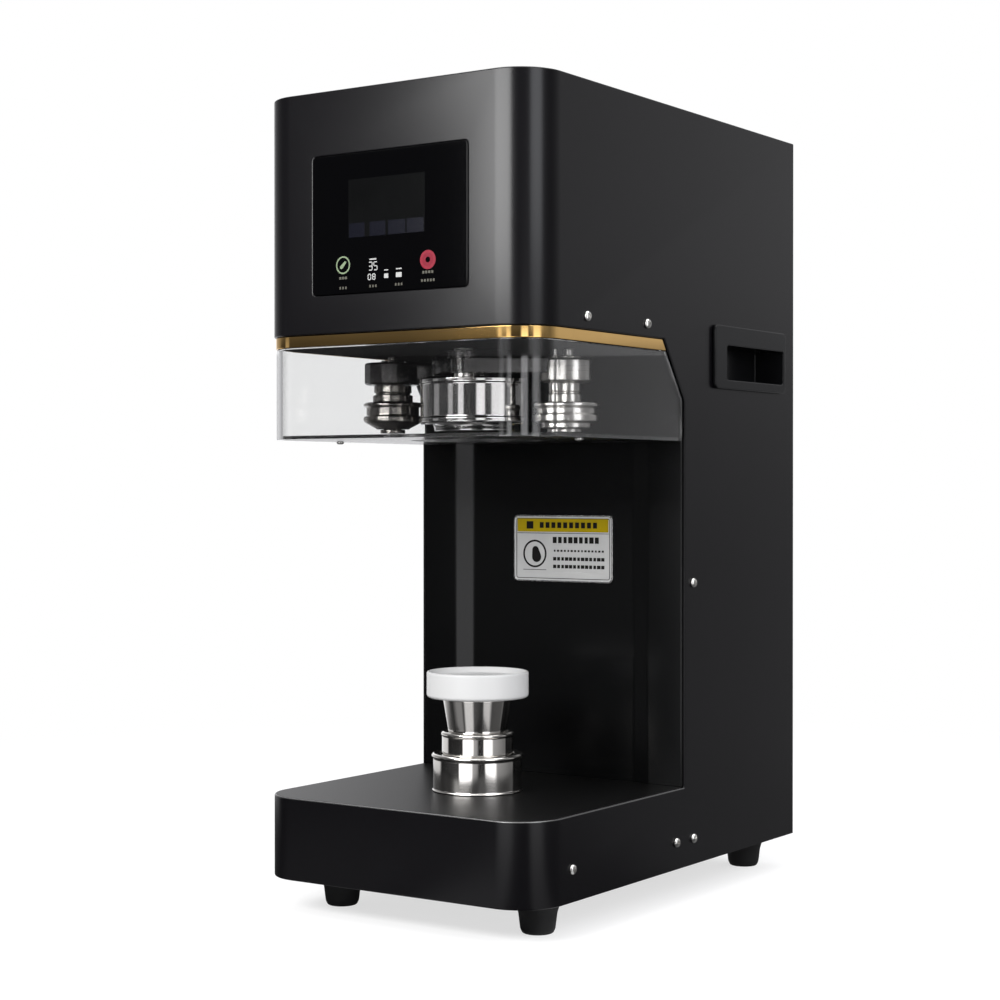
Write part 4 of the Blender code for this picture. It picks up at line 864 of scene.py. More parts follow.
# ---------------------------------------------------------------- trim band and guard
def within_throat(obj):
    """Keeps what lies inside the throat's side view, with its sloping rear edge."""
    outline = throat_outline(-GUARD_REAR_GAP, HEAD_BOTTOM + SHEET, GUARD_LOW - SHEET)
    combine(obj, [slab("guard_side_view", [outline], -REACH, REACH, "YZ")], "INTERSECT")


def make_guard():
    rear = THROAT_Y + CORNER_RADIUS
    low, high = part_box("gold_trim_band")
    band = slab("trim_band", [wrapped_wall(TRIM_INSET, TRIM_THICKNESS, rear)], low.z, high.z)
    within_throat(band)
    for vertex in band.data.vertices:
        lean = TRIM_LEAN * (high.z - vertex.co.z) / (high.z - low.z)
        vertex.co.x *= 1 - lean / HALF_WIDTH
        vertex.co.y += lean * (rear - vertex.co.y) / (rear - FRONT_Y)
    round_edges(band, 0.0004, 2)
    hand_over(band, "frame", "gold_trim", GOLD, "gold_trim_band")

    guard = slab("guard_wall", [wrapped_wall(GUARD_INSET, GUARD_WALL, rear)], GUARD_LOW, GUARD_HIGH)
    within_throat(guard)
    round_edges(guard, 0.0005, 2)
    hand_over(guard, "frame", "clear_guard", GUARD_CLEAR, "guard_shell")

    low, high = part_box("guard_bottom_plate")
    inset = HALF_WIDTH - high.x
    outlines = [wrap_path(inset, high.y), circle(AXIS, GUARD_HOLE_RADIUS, TURN_STEPS)]
    outlines += [circle(centre_of(name), GUARD_SCREW_HOLE_RADIUS, 24) for name in GUARD_SCREWS]
    floor = slab("guard_floor", outlines, low.z, high.z)
    round_edges(floor, 0.0003, 2)
    hand_over(floor, "frame", "clear_guard", GUARD_FLOOR_CLEAR, "guard_bottom_plate")


# ---------------------------------------------------------------- handles
def make_handle(side_name, side):
    node = f"handle_cup_{side_name}"
    low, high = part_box(node)
    outer, deep = (high.x, low.x) if side > 0 else (low.x, high.x)
    inner = outer - side * HANDLE_PROUD
    beyond = outer + side * HANDLE_PROUD
    bezel = plate(
        f"handle_{side_name}", (low.y, low.z), (high.y, high.z), HANDLE_CORNER, inner, outer, "YZ"
    )
    opening_low = Vector((low.y + HANDLE_MARGIN_FRONT, low.z + HANDLE_MARGIN_BOTTOM))
    opening_high = Vector((high.y - HANDLE_MARGIN_REAR, high.z - HANDLE_MARGIN_TOP))
    wall = Vector((HANDLE_WALL, HANDLE_WALL))
    tub = plate(
        "handle_tub", opening_low - wall, opening_high + wall, HANDLE_OPENING_CORNER + HANDLE_WALL,
        deep, (inner + outer) / 2, "YZ",
    )
    combine(bezel, [tub], "UNION")
    recess = plate(
        "handle_recess", opening_low, opening_high, HANDLE_OPENING_CORNER,
        deep + side * HANDLE_WALL, beyond, "YZ",
    )
    combine(bezel, [recess])
    round_edges(bezel, 0.0009, 3)
    hand_over(bezel, "frame", "gloss_black", GLOSS_BLACK, node)


# ---------------------------------------------------------------- touch panel
def luminous(name, colour, strength):
    """A lit mark: its own colour, glowing a little, slightly uneven."""
    material = finish(
        name, colour, 0.16, shade=0.08, patch_scale=900.0, grain_scale=3000.0,
        roughness_spread=0.02, specular=0.15,
    )
    tree = material.node_tree
    shader = tree.nodes["Principled BSDF"]
    tree.links.new(tree.nodes["Mix"].outputs["Result"], shader.inputs["Emission Color"])
    shader.inputs["Emission Strength"].default_value = strength
    return material


def ring(centre, outer, inner, steps=48):
    return [circle(centre, outer, steps), circle(centre, inner, steps)]


SEGMENTS = {
    "top": ((0.5, 1.0), False),
    "middle": ((0.5, 0.5), False),
    "bottom": ((0.5, 0.0), False),
    "upper_left": ((0.0, 0.75), True),
    "upper_right": ((1.0, 0.75), True),
    "lower_left": ((0.0, 0.25), True),
    "lower_right": ((1.0, 0.25), True),
}
FIGURES = {
    0: ("top", "bottom", "upper_left", "upper_right", "lower_left", "lower_right"),
    3: ("top", "middle", "bottom", "upper_right", "lower_right"),
    5: ("top", "middle", "bottom", "upper_left", "lower_right"),
    8: tuple(SEGMENTS),
}


# The panel's marks: across from its middle, and up from the bottom of the head.
GLASS_CORNER = 0.0026
GLASS_SETBACK = 0.00012
MARK_SETBACK = 0.00002
MARK_SINK = 0.00003
TILE_PROUD = 0.00005
SCREEN_CORNERS = ((-0.0337, 0.0640), (0.0300, 0.1030))
TILE_CORNERS = (
    ((-0.0332, 0.0640), (-0.0200, 0.0735)),
    ((-0.0156, 0.0640), (-0.0024, 0.0735)),
    ((-0.0002, 0.0640), (0.0141, 0.0735)),
    ((0.0153, 0.0640), (0.0292, 0.0735)),
)
START_MIDDLE = (-0.0383, 0.0459)
START_RADII = (0.0060, 0.0050)
STOP_MIDDLE = (0.0326, 0.0453)
STOP_RADII = (0.0063, 0.0045, 0.0019)
COUNT_BARS = (
    ((-0.0158, 0.0480), (-0.0100, 0.0489)),
    ((-0.0035, 0.0352), (0.0000, 0.0382)),
    ((0.0064, 0.0352), (0.0112, 0.0384)),
    ((-0.0034, 0.0402), (0.0000, 0.0409)),
    ((0.0064, 0.0404), (0.0112, 0.0412)),
)
# Figures: (figure, left, bottom, width, height).
COUNT_FIGURES = (
    (3, -0.0163, 0.0412, 0.0028, 0.0053),
    (5, -0.0121, 0.0412, 0.0028, 0.0053),
    (0, -0.0169, 0.0349, 0.0022, 0.0036),
    (8, -0.0132, 0.0349, 0.0022, 0.0036),
)
# Faint captions: (middle, height, dashes, length of a dash in strokes).
CAPTIONS = (
    (-0.0383, 0.0372, 3, 1.8),
    (0.0326, 0.0372, 4, 1.6),
    (-0.0383, 0.0305, 3, 1.2),
    (-0.0128, 0.0305, 3, 1.2),
    (0.0087, 0.0305, 3, 1.2),
    (0.0326, 0.0318, 5, 1.4),
)
CAPTION_PITCH = 0.0024
CAPTION_TALL = 2.6
STROKE_LENGTH = 0.001
STROKE_WIDTH = 0.00066
STROKE_DEPTH = 0.00012
FIGURE_STROKE_SHARE = 0.86


def stroke(name, depth=STROKE_DEPTH):
    """One printed stroke, lying across, at the origin."""
    corner = Vector((STROKE_LENGTH, depth, STROKE_WIDTH)) / 2
    return block(name, -corner, corner)


def figure_places(figure, left, bottom, width, height, y):
    """The strokes of one seven-stroke figure."""
    places = []
    for name in FIGURES[figure]:
        (u, v), upright = SEGMENTS[name]
        length = height / 2 if upright else width
        turn = (0.0, math.pi / 2, 0.0) if upright else UPRIGHT
        place = (left + u * width, y, HEAD_BOTTOM + bottom + v * height)
        places.append((place, turn, (length * FIGURE_STROKE_SHARE / STROKE_LENGTH, 1.0, 1.0)))
    return places


def above_head(point):
    return (point[0], HEAD_BOTTOM + point[1])


def mark_plates(name, corners, radius, front, back, steps=3):
    return [
        plate(name, above_head(low), above_head(high), radius, front, back, steps=steps)
        for low, high in corners
    ]


def on_glass(obj, material):
    hand_over(obj, "frame", "panel_glass", material, "touch_panel_glass")


def make_touch_panel():
    low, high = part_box("touch_panel_glass")
    face = low.y + GLASS_SETBACK
    glass = plate("touch_glass", (low.x, low.z), (high.x, high.z), GLASS_CORNER, face, high.y)
    round_edges(glass, 0.0004, 3)
    on_glass(glass, PANEL_GLASS)

    front = low.y + MARK_SETBACK
    back = face + MARK_SINK
    middle = (front + back) / 2
    [screen] = mark_plates("screen_area", [SCREEN_CORNERS], 0.0004, face - MARK_SINK, back, 4)
    on_glass(screen, SCREEN)
    tiles = mark_plates("tile", TILE_CORNERS, 0.0003, face - TILE_PROUD, face)
    on_glass(join("screen_tiles", tiles), SCREEN_TILE)

    x, z = above_head(START_MIDDLE)
    start = slab("start_ring", ring((x, z), *START_RADII), front, back, "XZ")
    leaf_outline = capsule((x - 0.0014, z - 0.0014), (x + 0.0017, z + 0.0017), 0.0012, 0.0009)
    leaf = slab("start_leaf", [leaf_outline], front, back, "XZ")
    on_glass(join("start_mark", [start, leaf]), GREEN_LIGHT)
    stop_middle = above_head(STOP_MIDDLE)
    stop = slab("stop_mark", ring(stop_middle, *STOP_RADII[:2]), front, back, "XZ")
    on_glass(stop, RED_LIGHT)
    fill = slab("stop_fill", ring(stop_middle, *STOP_RADII[1:]), front + MARK_SETBACK, back, "XZ")
    on_glass(fill, DIM_RED)

    places = []
    for figure in COUNT_FIGURES:
        places += figure_places(*figure, middle)
    on_glass(repeat_fitting("count_digits", stroke("stroke"), places, WHITE_LIGHT), WHITE_LIGHT)
    bars = mark_plates("bar", COUNT_BARS, 0.0003, front, back)
    on_glass(join("count_marks", bars), WHITE_LIGHT)

    places = []
    for centre, z, count, wide in CAPTIONS:
        for i in range(count):
            x = centre + (i - (count - 1) / 2) * CAPTION_PITCH
            places.append(((x, middle, HEAD_BOTTOM + z), UPRIGHT, (wide, 1.0, CAPTION_TALL)))
    on_glass(repeat_fitting("faint_dashes", stroke("dash"), places, FAINT_LIGHT), FAINT_LIGHT)


SCREEN = finish(
    "screen_film", (0.0020, 0.0021, 0.0022), 0.08, shade=0.15, patch_scale=40.0, grain_scale=2500.0,
    roughness_spread=0.02, specular=0.2,
)
SCREEN_TILE = luminous("screen_tiles", (0.0028, 0.0030, 0.0056), 0.25)
GREEN_LIGHT = luminous("start_green", (0.125, 0.160, 0.100), 0.40)
RED_LIGHT = luminous("stop_red", (0.150, 0.014, 0.024), 0.35)
DIM_RED = luminous("stop_dim_red", (0.125, 0.011, 0.020), 0.30)
WHITE_LIGHT = luminous("count_white", (0.27, 0.27, 0.265), 0.30)
FAINT_LIGHT = luminous("faint_print", (0.060, 0.058, 0.048), 0.5)


# ---------------------------------------------------------------- data plate
PLATE_FIELD = finish(
    "plate_field", (0.40, 0.40, 0.395), 0.36, metallic=0.35, shade=0.05, patch_scale=45.0,
    grain_scale=1400.0, grain_stretch=(0.05, 1.0, 1.0), roughness_spread=0.08,
)
PLATE_RIM = finish(
    "plate_rim", (0.62, 0.62, 0.61), 0.24, metallic=1.0, shade=0.06, grain_scale=1600.0,
    roughness_spread=0.06, relief=0.000001,
)
PLATE_YELLOW = finish(
    "plate_yellow", (0.26, 0.19, 0.001), 0.50, shade=0.06, patch_scale=60.0, grain_scale=1800.0,
    specular=0.06,
)
PLATE_INK = finish(
    "plate_ink", (0.006, 0.0055, 0.005), 0.50, shade=0.15, patch_scale=200.0, grain_scale=2400.0,
    specular=0.06,
)


# The plate's marks: across from its left edge, and up from its bottom or down from its top.
PLATE_CORNER = 0.0040
PLATE_RIM_WIDTH = 0.0011
PLATE_FIELD_DEPTH = 0.00035
PLATE_BACK_GAP = 0.00005
PRINT_PROUD = 0.00015
PRINT_SINK = 0.00004
BAND_PROUD = 0.00008
BAND_LEFT, BAND_RIGHT = 0.0032, 0.0036
BAND_TOP, BAND_BOTTOM = 0.0024, 0.0125
BAND_LINE = 0.0137
BORDER_INSETS = (0.0023, 0.00275)
EMBLEM_MIDDLE = (0.0188, 0.0208)
EMBLEM_RADII = (0.0104, 0.0090)
EMBLEM_LINE = (0.0085, 0.0290, 0.0086)
LINE_WIDTH = 0.0004
HEADING_START, HEADING_PITCH, HEADING_COUNT = 0.0250, 0.0052, 10
HEADING_SIZE = (3.4, 1.0, 6.5)
SIGN_ACROSS, SIGN_SIZE = 0.0145, (6.0, 1.0, 8.5)
ROW_START = 0.0365
BAR_NARROWING = 0.28
PRINT_DEPTH = 0.00018
# Rows of bars: (height, bars, pitch, width and height of a bar in strokes).
PLATE_ROWS = (
    (0.0312, 9, 0.0046, 3.7, 7.0),
    (0.0232, 15, 0.0030, 1.9, 2.2),
    (0.0172, 13, 0.0035, 3.0, 3.9),
    (0.0115, 13, 0.0035, 3.0, 3.9),
)


def bar_width_share(i, count):
    """Bars of a row take one of four widths in turn."""
    return 1.0 - BAR_NARROWING * ((i * 5 + count) % 4) / 3


def on_plate(obj, material):
    hand_over(obj, "frame", "data_plate", material, "data_plate")


def make_data_plate():
    low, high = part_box("data_plate")
    rim_outline = rounded_rectangle((low.x, low.z), (high.x, high.z), PLATE_CORNER)
    width = PLATE_RIM_WIDTH
    inside = rounded_rectangle((low.x + width, low.z + width), (high.x - width, high.z - width), 0.0030)
    rim = slab("plate_rim", [rim_outline, inside], low.y, high.y, "XZ")
    round_edges(rim, 0.00025, 2)
    on_plate(rim, PLATE_RIM)
    sheet_front = low.y + PLATE_FIELD_DEPTH
    sheet = slab("plate_field", [inside], sheet_front, high.y - PLATE_BACK_GAP, "XZ")
    on_plate(sheet, PLATE_FIELD)

    band_low = (low.x + BAND_LEFT, high.z - BAND_BOTTOM)
    band_high = (high.x - BAND_RIGHT, high.z - BAND_TOP)
    band_front, band_back = sheet_front - BAND_PROUD, sheet_front + BAND_PROUD
    band = plate("plate_band", band_low, band_high, 0.0008, band_front, band_back, steps=4)
    on_plate(band, PLATE_YELLOW)

    front, back = sheet_front - PRINT_PROUD, sheet_front + PRINT_SINK
    x, z = low.x + EMBLEM_MIDDLE[0], low.z + EMBLEM_MIDDLE[1]
    bean = capsule((x + 0.0006, z + 0.0028), (x + 0.0016, z - 0.0024), 0.0028, 0.0040)
    border = [
        rounded_rectangle((low.x + d, low.z + d), (high.x - d, high.z - d), PLATE_CORNER + 0.0002 - d, 6)
        for d in BORDER_INSETS
    ]
    left, right, height = EMBLEM_LINE
    line_starts = (
        ((low.x + left, low.z + height), low.x + right),
        ((low.x + BAND_LEFT, high.z - BAND_LINE), high.x - BAND_LEFT),
    )
    prints = [
        slab("plate_emblem", ring((x, z), *EMBLEM_RADII, 64), front, back, "XZ"),
        slab("plate_dial", [bean], front, back, "XZ"),
        slab("plate_border", border, front, back, "XZ"),
    ]
    for start, end_x in line_starts:
        end = (end_x, start[1] + LINE_WIDTH)
        prints.append(plate("plate_line", start, end, 0.0001, front, back, steps=2))
    on_plate(join("plate_emblem", prints), PLATE_INK)

    middle = (front + back) / 2
    band_place = (middle - PRINT_SINK, (band_low[1] + band_high[1]) / 2)
    places = []
    for i in range(HEADING_COUNT):
        x = low.x + HEADING_START + i * HEADING_PITCH
        places.append(((x, *band_place), UPRIGHT, HEADING_SIZE))
    places.append(((low.x + SIGN_ACROSS, *band_place), UPRIGHT, SIGN_SIZE))
    for height, count, pitch, wide, tall in PLATE_ROWS:
        for i in range(count):
            x = low.x + ROW_START + i * pitch
            size = (wide * bar_width_share(i, count), 1.0, tall)
            places.append(((x, middle, low.z + height), UPRIGHT, size))
    print_bars = repeat_fitting("plate_bars", stroke("print_dash", PRINT_DEPTH), places, PLATE_INK)
    on_plate(print_bars, PLATE_INK)


# ---------------------------------------------------------------- power inlet and rocker
INLET_LIP = 0.0025
INLET_CORNER = 0.0022
INLET_OVERCUT = 0.005
SOCKET_HALF_WIDTH = 0.00925
SOCKET_BELOW_MIDDLE = (0.01875, 0.00225)
SOCKET_CHAMFER = 0.004
SOCKET_DEPTH = 0.015
PIN_HALF_SIZE = (0.001, 0.002)
PIN_LENGTH = 0.010
PIN_PLACES = ((-0.005, -0.002), (0.0, 0.002), (0.005, -0.002))
WELL_HALF_WIDTH = 0.0093
WELL_HALF_HEIGHT = 0.008
WELL_DEPTH = 0.009
ROCKER_ABOVE_MIDDLE = 0.012
ROCKER_HALF_WIDTH = 0.009
ROCKER_HALF_HEIGHT = 0.0062
ROCKER_PROUD = 0.0033
ROCKER_DISH = 0.0015
ROCKER_BACK = 0.003
ROCKER_TILT_DEG = 8.0


def make_inlet_bezel(x, z, rocker_z):
    low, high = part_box("power_inlet")
    face = high.y
    bezel = plate("inlet_bezel", (low.x, low.z), (high.x, high.z), INLET_CORNER, REAR_Y + GAP, face)
    body = block(
        "inlet_body",
        (low.x + INLET_LIP, low.y, low.z + INLET_LIP),
        (high.x - INLET_LIP, face - 0.0008, high.z - INLET_LIP),
    )
    combine(bezel, [body], "UNION")
    half, chamfer = SOCKET_HALF_WIDTH, SOCKET_CHAMFER
    bottom, top = (z - below for below in SOCKET_BELOW_MIDDLE)
    outline = [
        (x - half, bottom),
        (x + half, bottom),
        (x + half, top - chamfer),
        (x + half - chamfer, top),
        (x - half + chamfer, top),
        (x - half, top - chamfer),
    ]
    beyond = face + INLET_OVERCUT
    socket = slab("inlet_socket", [soften(outline, 0.0012)], face - SOCKET_DEPTH, beyond, "XZ")
    well = block(
        "rocker_well",
        (x - WELL_HALF_WIDTH, face - WELL_DEPTH, rocker_z - WELL_HALF_HEIGHT),
        (x + WELL_HALF_WIDTH, beyond, rocker_z + WELL_HALF_HEIGHT),
    )
    combine(bezel, [socket, well])
    round_edges(bezel, 0.0004, 2)
    hand_over(bezel, "frame", "gloss_black", GLOSS_BLACK, "power_inlet")
    return (bottom + top) / 2


def make_power_inlet():
    low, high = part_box("power_inlet")
    x, z = (low.x + high.x) / 2, (low.z + high.z) / 2
    rocker_z = z + ROCKER_ABOVE_MIDDLE
    socket_z = make_inlet_bezel(x, z, rocker_z)

    wide, tall = PIN_HALF_SIZE
    pin = block("inlet_pin", (-wide, 0.0, -tall), (wide, PIN_LENGTH, tall))
    round_edges(pin, 0.0004, 2)
    pin_y = high.y - SOCKET_DEPTH - 0.0001
    places = [((x + dx, pin_y, socket_z + dz), UPRIGHT, WHOLE) for dx, dz in PIN_PLACES]
    pins = repeat_fitting("inlet_pins", pin, places, SATIN_STEEL)
    hand_over(pins, "frame", "polished_steel", SATIN_STEEL)

    tip, half, back = ROCKER_PROUD, ROCKER_HALF_HEIGHT, -ROCKER_BACK
    dished = [(ROCKER_DISH + (tip - ROCKER_DISH) * (i / 8.0) ** 2, half * i / 8.0) for i in range(-7, 8)]
    side_view = [(back, -half * 0.8), (tip, -half), *dished, (tip, half), (back, half * 0.8)]
    rocker = slab("rocker_cap", [side_view], -ROCKER_HALF_WIDTH, ROCKER_HALF_WIDTH, "YZ")
    round_edges(rocker, 0.00035, 2)
    tilt = Matrix.Rotation(math.radians(ROCKER_TILT_DEG), 4, "X")
    rocker.data.transform(Matrix.Translation((x, high.y - tip, rocker_z)) @ tilt)
    hand_over(rocker, "rocker", "gloss_black", GLOSS_BLACK, "power_rocker")


# ---------------------------------------------------------------- lift
COLLAR_BORE = 0.0261
COLLAR_SOCKET = 0.0286
SLEEVE_BORE = 0.0213
PISTON_RADIUS = 0.0209
PISTON_WALL = 0.003
PISTON_FLOOR = 0.010
LIFT_SCREW_BORE = 0.0054
TRAY_RIM = 0.0019
TRAY_DISH = 0.004
TRAY_BOSS_RADIUS = 0.0254


def make_collar():
    low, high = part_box("lift_collar")
    radius = (high.x - low.x) / 2
    top = high.z
    bore, socket = COLLAR_BORE, COLLAR_SOCKET
    collar = [
        (bore, top - 0.0008),
        (bore + 0.0008, top),
        (radius - 0.0012, top),
        (radius, top - 0.0012),
        (radius, top - 0.0024),
        (radius - 0.0011, top - 0.0034),
        (radius - 0.0011, DECK_TOP + 0.0016),
        (radius - 0.0003, DECK_TOP + 0.0010),
        (radius - 0.0003, DECK_TOP + GAP),
        (socket, DECK_TOP + GAP),
        (socket, low.z),
        (bore, low.z),
    ]
    collar_ring = turned("lift_collar_ring", soften(collar, 0.0007), AXIS, closed=True)
    hand_over(collar_ring, "frame", "polished_steel", POLISHED, "lift_collar")


def make_sleeve():
    low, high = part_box("lift_sleeve")
    radius = (high.x - low.x) / 2
    top = high.z
    sleeve = [
        (SLEEVE_BORE, top - 0.0006),
        (SLEEVE_BORE + 0.0006, top),
        (radius - 0.0014, top),
        (radius, top - 0.0012),
        (radius, top - 0.0026),
        (radius - 0.0005, top - 0.0032),
        (radius - 0.0005, low.z),
        (SLEEVE_BORE, low.z),
    ]
    sleeve_tube = turned("sleeve_tube", soften(sleeve, 0.0007), AXIS, closed=True)
    hand_over(sleeve_tube, "lift_sleeve", "polished_steel", POLISHED, "lift_sleeve")


def make_piston():
    low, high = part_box("lift_piston")
    cone_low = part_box("lift_sleeve")[1].z + GAP
    piston = [
        (0.0, high.z),
        ((high.x - low.x) / 2, high.z),
        (PISTON_RADIUS, cone_low + 0.0010),
        (PISTON_RADIUS, low.z),
        (LIFT_SCREW_BORE, low.z),
        (LIFT_SCREW_BORE, low.z + PISTON_FLOOR),
        (PISTON_RADIUS - PISTON_WALL, low.z + PISTON_FLOOR),
        (PISTON_RADIUS - PISTON_WALL, high.z - PISTON_WALL),
        (0.0, high.z - PISTON_WALL),
    ]
    rod = turned("piston_rod", soften(piston, 0.0005, closed=False), AXIS)
    hand_over(rod, "lift", "polished_steel", POLISHED, "lift_piston")


def make_tray():
    low, high = TRAY_LOW, TRAY_HIGH
    radius = (high.x - low.x) / 2
    rim, dish = TRAY_RIM, TRAY_DISH
    tray = [
        (0.0, high.z - dish),
        (radius - rim - 0.0040, high.z - dish),
        (radius - rim, high.z - 0.0003),
        (radius - rim * 0.6, high.z),
        (radius, high.z - 0.0008),
        (radius, low.z + 0.0020),
        (radius - 0.0014, low.z + 0.0006),
        (TRAY_BOSS_RADIUS + 0.0008, low.z + 0.0004),
        (TRAY_BOSS_RADIUS, low.z),
        (0.0, low.z),
    ]
    cup_tray = turned("cup_tray", soften(tray, 0.0009, closed=False, steps=6), AXIS)
    hand_over(cup_tray, "lift", "white_plastic", WHITE_PLASTIC, "lift_tray")


# ---------------------------------------------------------------- seaming head
CHUCK_BORE = 0.0123
CHUCK_LIP_RADIUS = 0.0306
CHUCK_LIP_HEIGHT = 0.0045
HUB_RADIUS = 0.031
HUB_HEIGHT = 0.0152
HUB_BORE = 0.0124
SPINDLE_RADIUS = 0.020
EAR_ROOT_SHARE = 0.44
EAR_THICKNESS = 0.005
EAR_RADII = (0.009, 0.011)
EAR_HOLE_RADIUS = 0.0043
PIVOT_RADIUS = 0.004
PIVOT_FOOT_HEIGHT = 0.003
PIVOT_SOCKET = (0.0024, 0.0014)
ARM_TOP = TRIM_LOW - 0.0083
ARM_BOTTOM = TRIM_LOW - 0.0177
ARM_RADII = (0.0088, 0.011)
ARM_PIVOT_HOLE = 0.0044
ARM_STUD_HOLE = 0.0086
BOSS_BORE = 0.0063
STUD_RADIUS = 0.006
STUD_TIP_RADIUS = 0.0032
STUD_HEAD_RADIUS = 0.009
STUD_SOCKET = (0.003, 0.0016)
WASHER_RADIUS = 0.0085
WASHER_THICKNESS = 0.0015
NECK_RADII = {"left": 0.0145, "right": 0.0085}
# Each arm's boss: (radius, depths of its top and its bottom below the trim, facets).
BOSSES = {"left": (0.0205, 0.006, 0.022, 12), "right": (0.0154, 0.008, 0.024, 96)}


def hex_socket(foot, radius, depth, centre):
    """The cutter for a hexagon socket in an end that faces down."""
    low, high = foot - 0.001, foot + depth
    return turned("hex_socket", [(0.0, low), (radius, low), (radius, high), (0.0, high)], centre, 6)


def make_chuck():
    low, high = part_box("seaming_chuck")
    radius = (high.x - low.x) / 2
    top = high.z
    bell = low.z + CHUCK_LIP_HEIGHT
    inside_top = bell + (top - bell) / 4
    profile = [
        (0.0, inside_top),
        (CHUCK_BORE, inside_top),
        (CHUCK_BORE, top),
        (radius - 0.0030, top),
        (radius - 0.0022, top - 0.0010),
        (radius, top - 0.0010),
        (radius, top - 0.0040),
        (radius - 0.0009, top - 0.0046),
        (radius - 0.0009, bell + 0.0052),
        (radius, bell + 0.0045),
        (radius, bell + 0.0015),
        (radius - 0.0015, bell),
        (CHUCK_LIP_RADIUS, bell),
        (CHUCK_LIP_RADIUS - 0.0006, bell - 0.0008),
        (CHUCK_LIP_RADIUS - 0.0014, low.z),
        (0.0, low.z),
    ]
    chuck = turned("chuck_bell", soften(profile, 0.0006, closed=False), AXIS, 160)
    hand_over(chuck, "frame", "polished_steel", CHUCK_STEEL, "seaming_chuck")


def make_turret():
    low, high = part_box("turret_spindle")
    hub_top = low.z + HUB_HEIGHT
    profile = [
        (HUB_BORE, high.z),
        (SPINDLE_RADIUS, high.z),
        (SPINDLE_RADIUS, hub_top),
        (HUB_RADIUS - 0.0024, hub_top),
        (HUB_RADIUS, hub_top - 0.0024),
        (HUB_RADIUS, low.z + 0.0012),
        (HUB_RADIUS - 0.0012, low.z),
        (HUB_BORE, low.z),
    ]
    hub = turned("turret_hub", soften(profile, 0.0005, steps=2), AXIS, 96, closed=True)
    ear_bottom = ARM_TOP + GAP
    ears = []
    for side_name in ("left", "right"):
        x, y = centre_of(f"arm_pivot_pin_{side_name}")
        root = (x * EAR_ROOT_SHARE, AXIS_Y + (y - AXIS_Y) * EAR_ROOT_SHARE)
        outlines = [capsule(root, (x, y), *EAR_RADII), circle((x, y), EAR_HOLE_RADIUS, 32)]
        ears.append(slab("turret_ear", outlines, ear_bottom, ear_bottom + EAR_THICKNESS))
    combine(hub, ears, "UNION")
    round_edges(hub, 0.0004, 2)
    hand_over(hub, "turret", "dark_steel", DARK_STEEL, "turret_spindle")


def make_pivot_pin(side_name):
    node = f"arm_pivot_pin_{side_name}"
    low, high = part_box(node)
    head = (high.x - low.x) / 2
    cap_bottom = ARM_TOP + 2 * GAP + EAR_THICKNESS
    foot_top = low.z + PIVOT_FOOT_HEIGHT
    profile = [
        (0.0, high.z),
        (head, high.z),
        (head, cap_bottom),
        (PIVOT_RADIUS, cap_bottom),
        (PIVOT_RADIUS, foot_top),
        (head, foot_top),
        (head, low.z),
        (0.0, low.z),
    ]
    centre = centre_of(node)
    pivot = turned(f"pivot_pin_{side_name}", soften(profile, 0.0006, closed=False), centre, 48)
    combine(pivot, [hex_socket(low.z, *PIVOT_SOCKET, centre)])
    crease(pivot)
    hand_over(pivot, "turret", "polished_steel", SATIN_STEEL, node)


# Roller profiles from the top down: (share of the radius, share of the height below the top).
# Left: a stack of thin discs over a tapered foot. Right: a flange, a waist, a thick disc and a foot.
ROLLER_PROFILES = {
    "left": (
        (0.93, 0.0), (1.0, 0.06), (1.0, 0.13), (0.90, 0.19), (0.90, 0.48), (1.0, 0.54), (1.0, 0.70),
        (0.93, 0.77),
    ),
    "right": (
        (0.96, 0.0), (1.0, 0.05), (1.0, 0.15), (0.90, 0.22), (0.90, 0.42), (0.97, 0.50), (0.97, 0.74),
        (0.86, 0.78), (0.72, 0.80),
    ),
}
# The foot under each profile: (share of the radius, height above the bottom).
ROLLER_FEET = {
    "left": ((0.58, 0.0006), (0.56, 0.0)),
    "right": ((0.72, 0.0),),
}


def make_arm(side_name, pivot, axis):
    node = f"roller_arm_{side_name}"
    body = f"arm_{side_name}"
    outlines = [
        capsule(pivot, axis, *ARM_RADII),
        circle(pivot, ARM_PIVOT_HOLE, 32),
        circle(axis, ARM_STUD_HOLE, 48),
    ]
    arm = slab(body, outlines, ARM_BOTTOM, ARM_TOP)
    round_edges(arm, 0.0003, 2)
    hand_over(arm, body, "dark_steel", DARK_STEEL, node)

    radius, top, bottom, facets = BOSSES[side_name]
    high, low = TRIM_LOW - top, TRIM_LOW - bottom
    profile = [
        (BOSS_BORE, high),
        (radius - 0.0014, high),
        (radius, high - 0.0012),
        (radius, low + 0.0012),
        (radius - 0.0014, low),
        (BOSS_BORE, low),
    ]
    boss = turned(f"boss_{side_name}", profile, axis, facets, closed=True, start=math.pi / facets)
    round_edges(boss, 0.0003, 2, angle=25)
    if side_name == "left":
        hand_over(boss, body, "dark_steel", DARK_STEEL, node)
    else:
        hand_over(boss, body, "polished_steel", SATIN_STEEL, node)


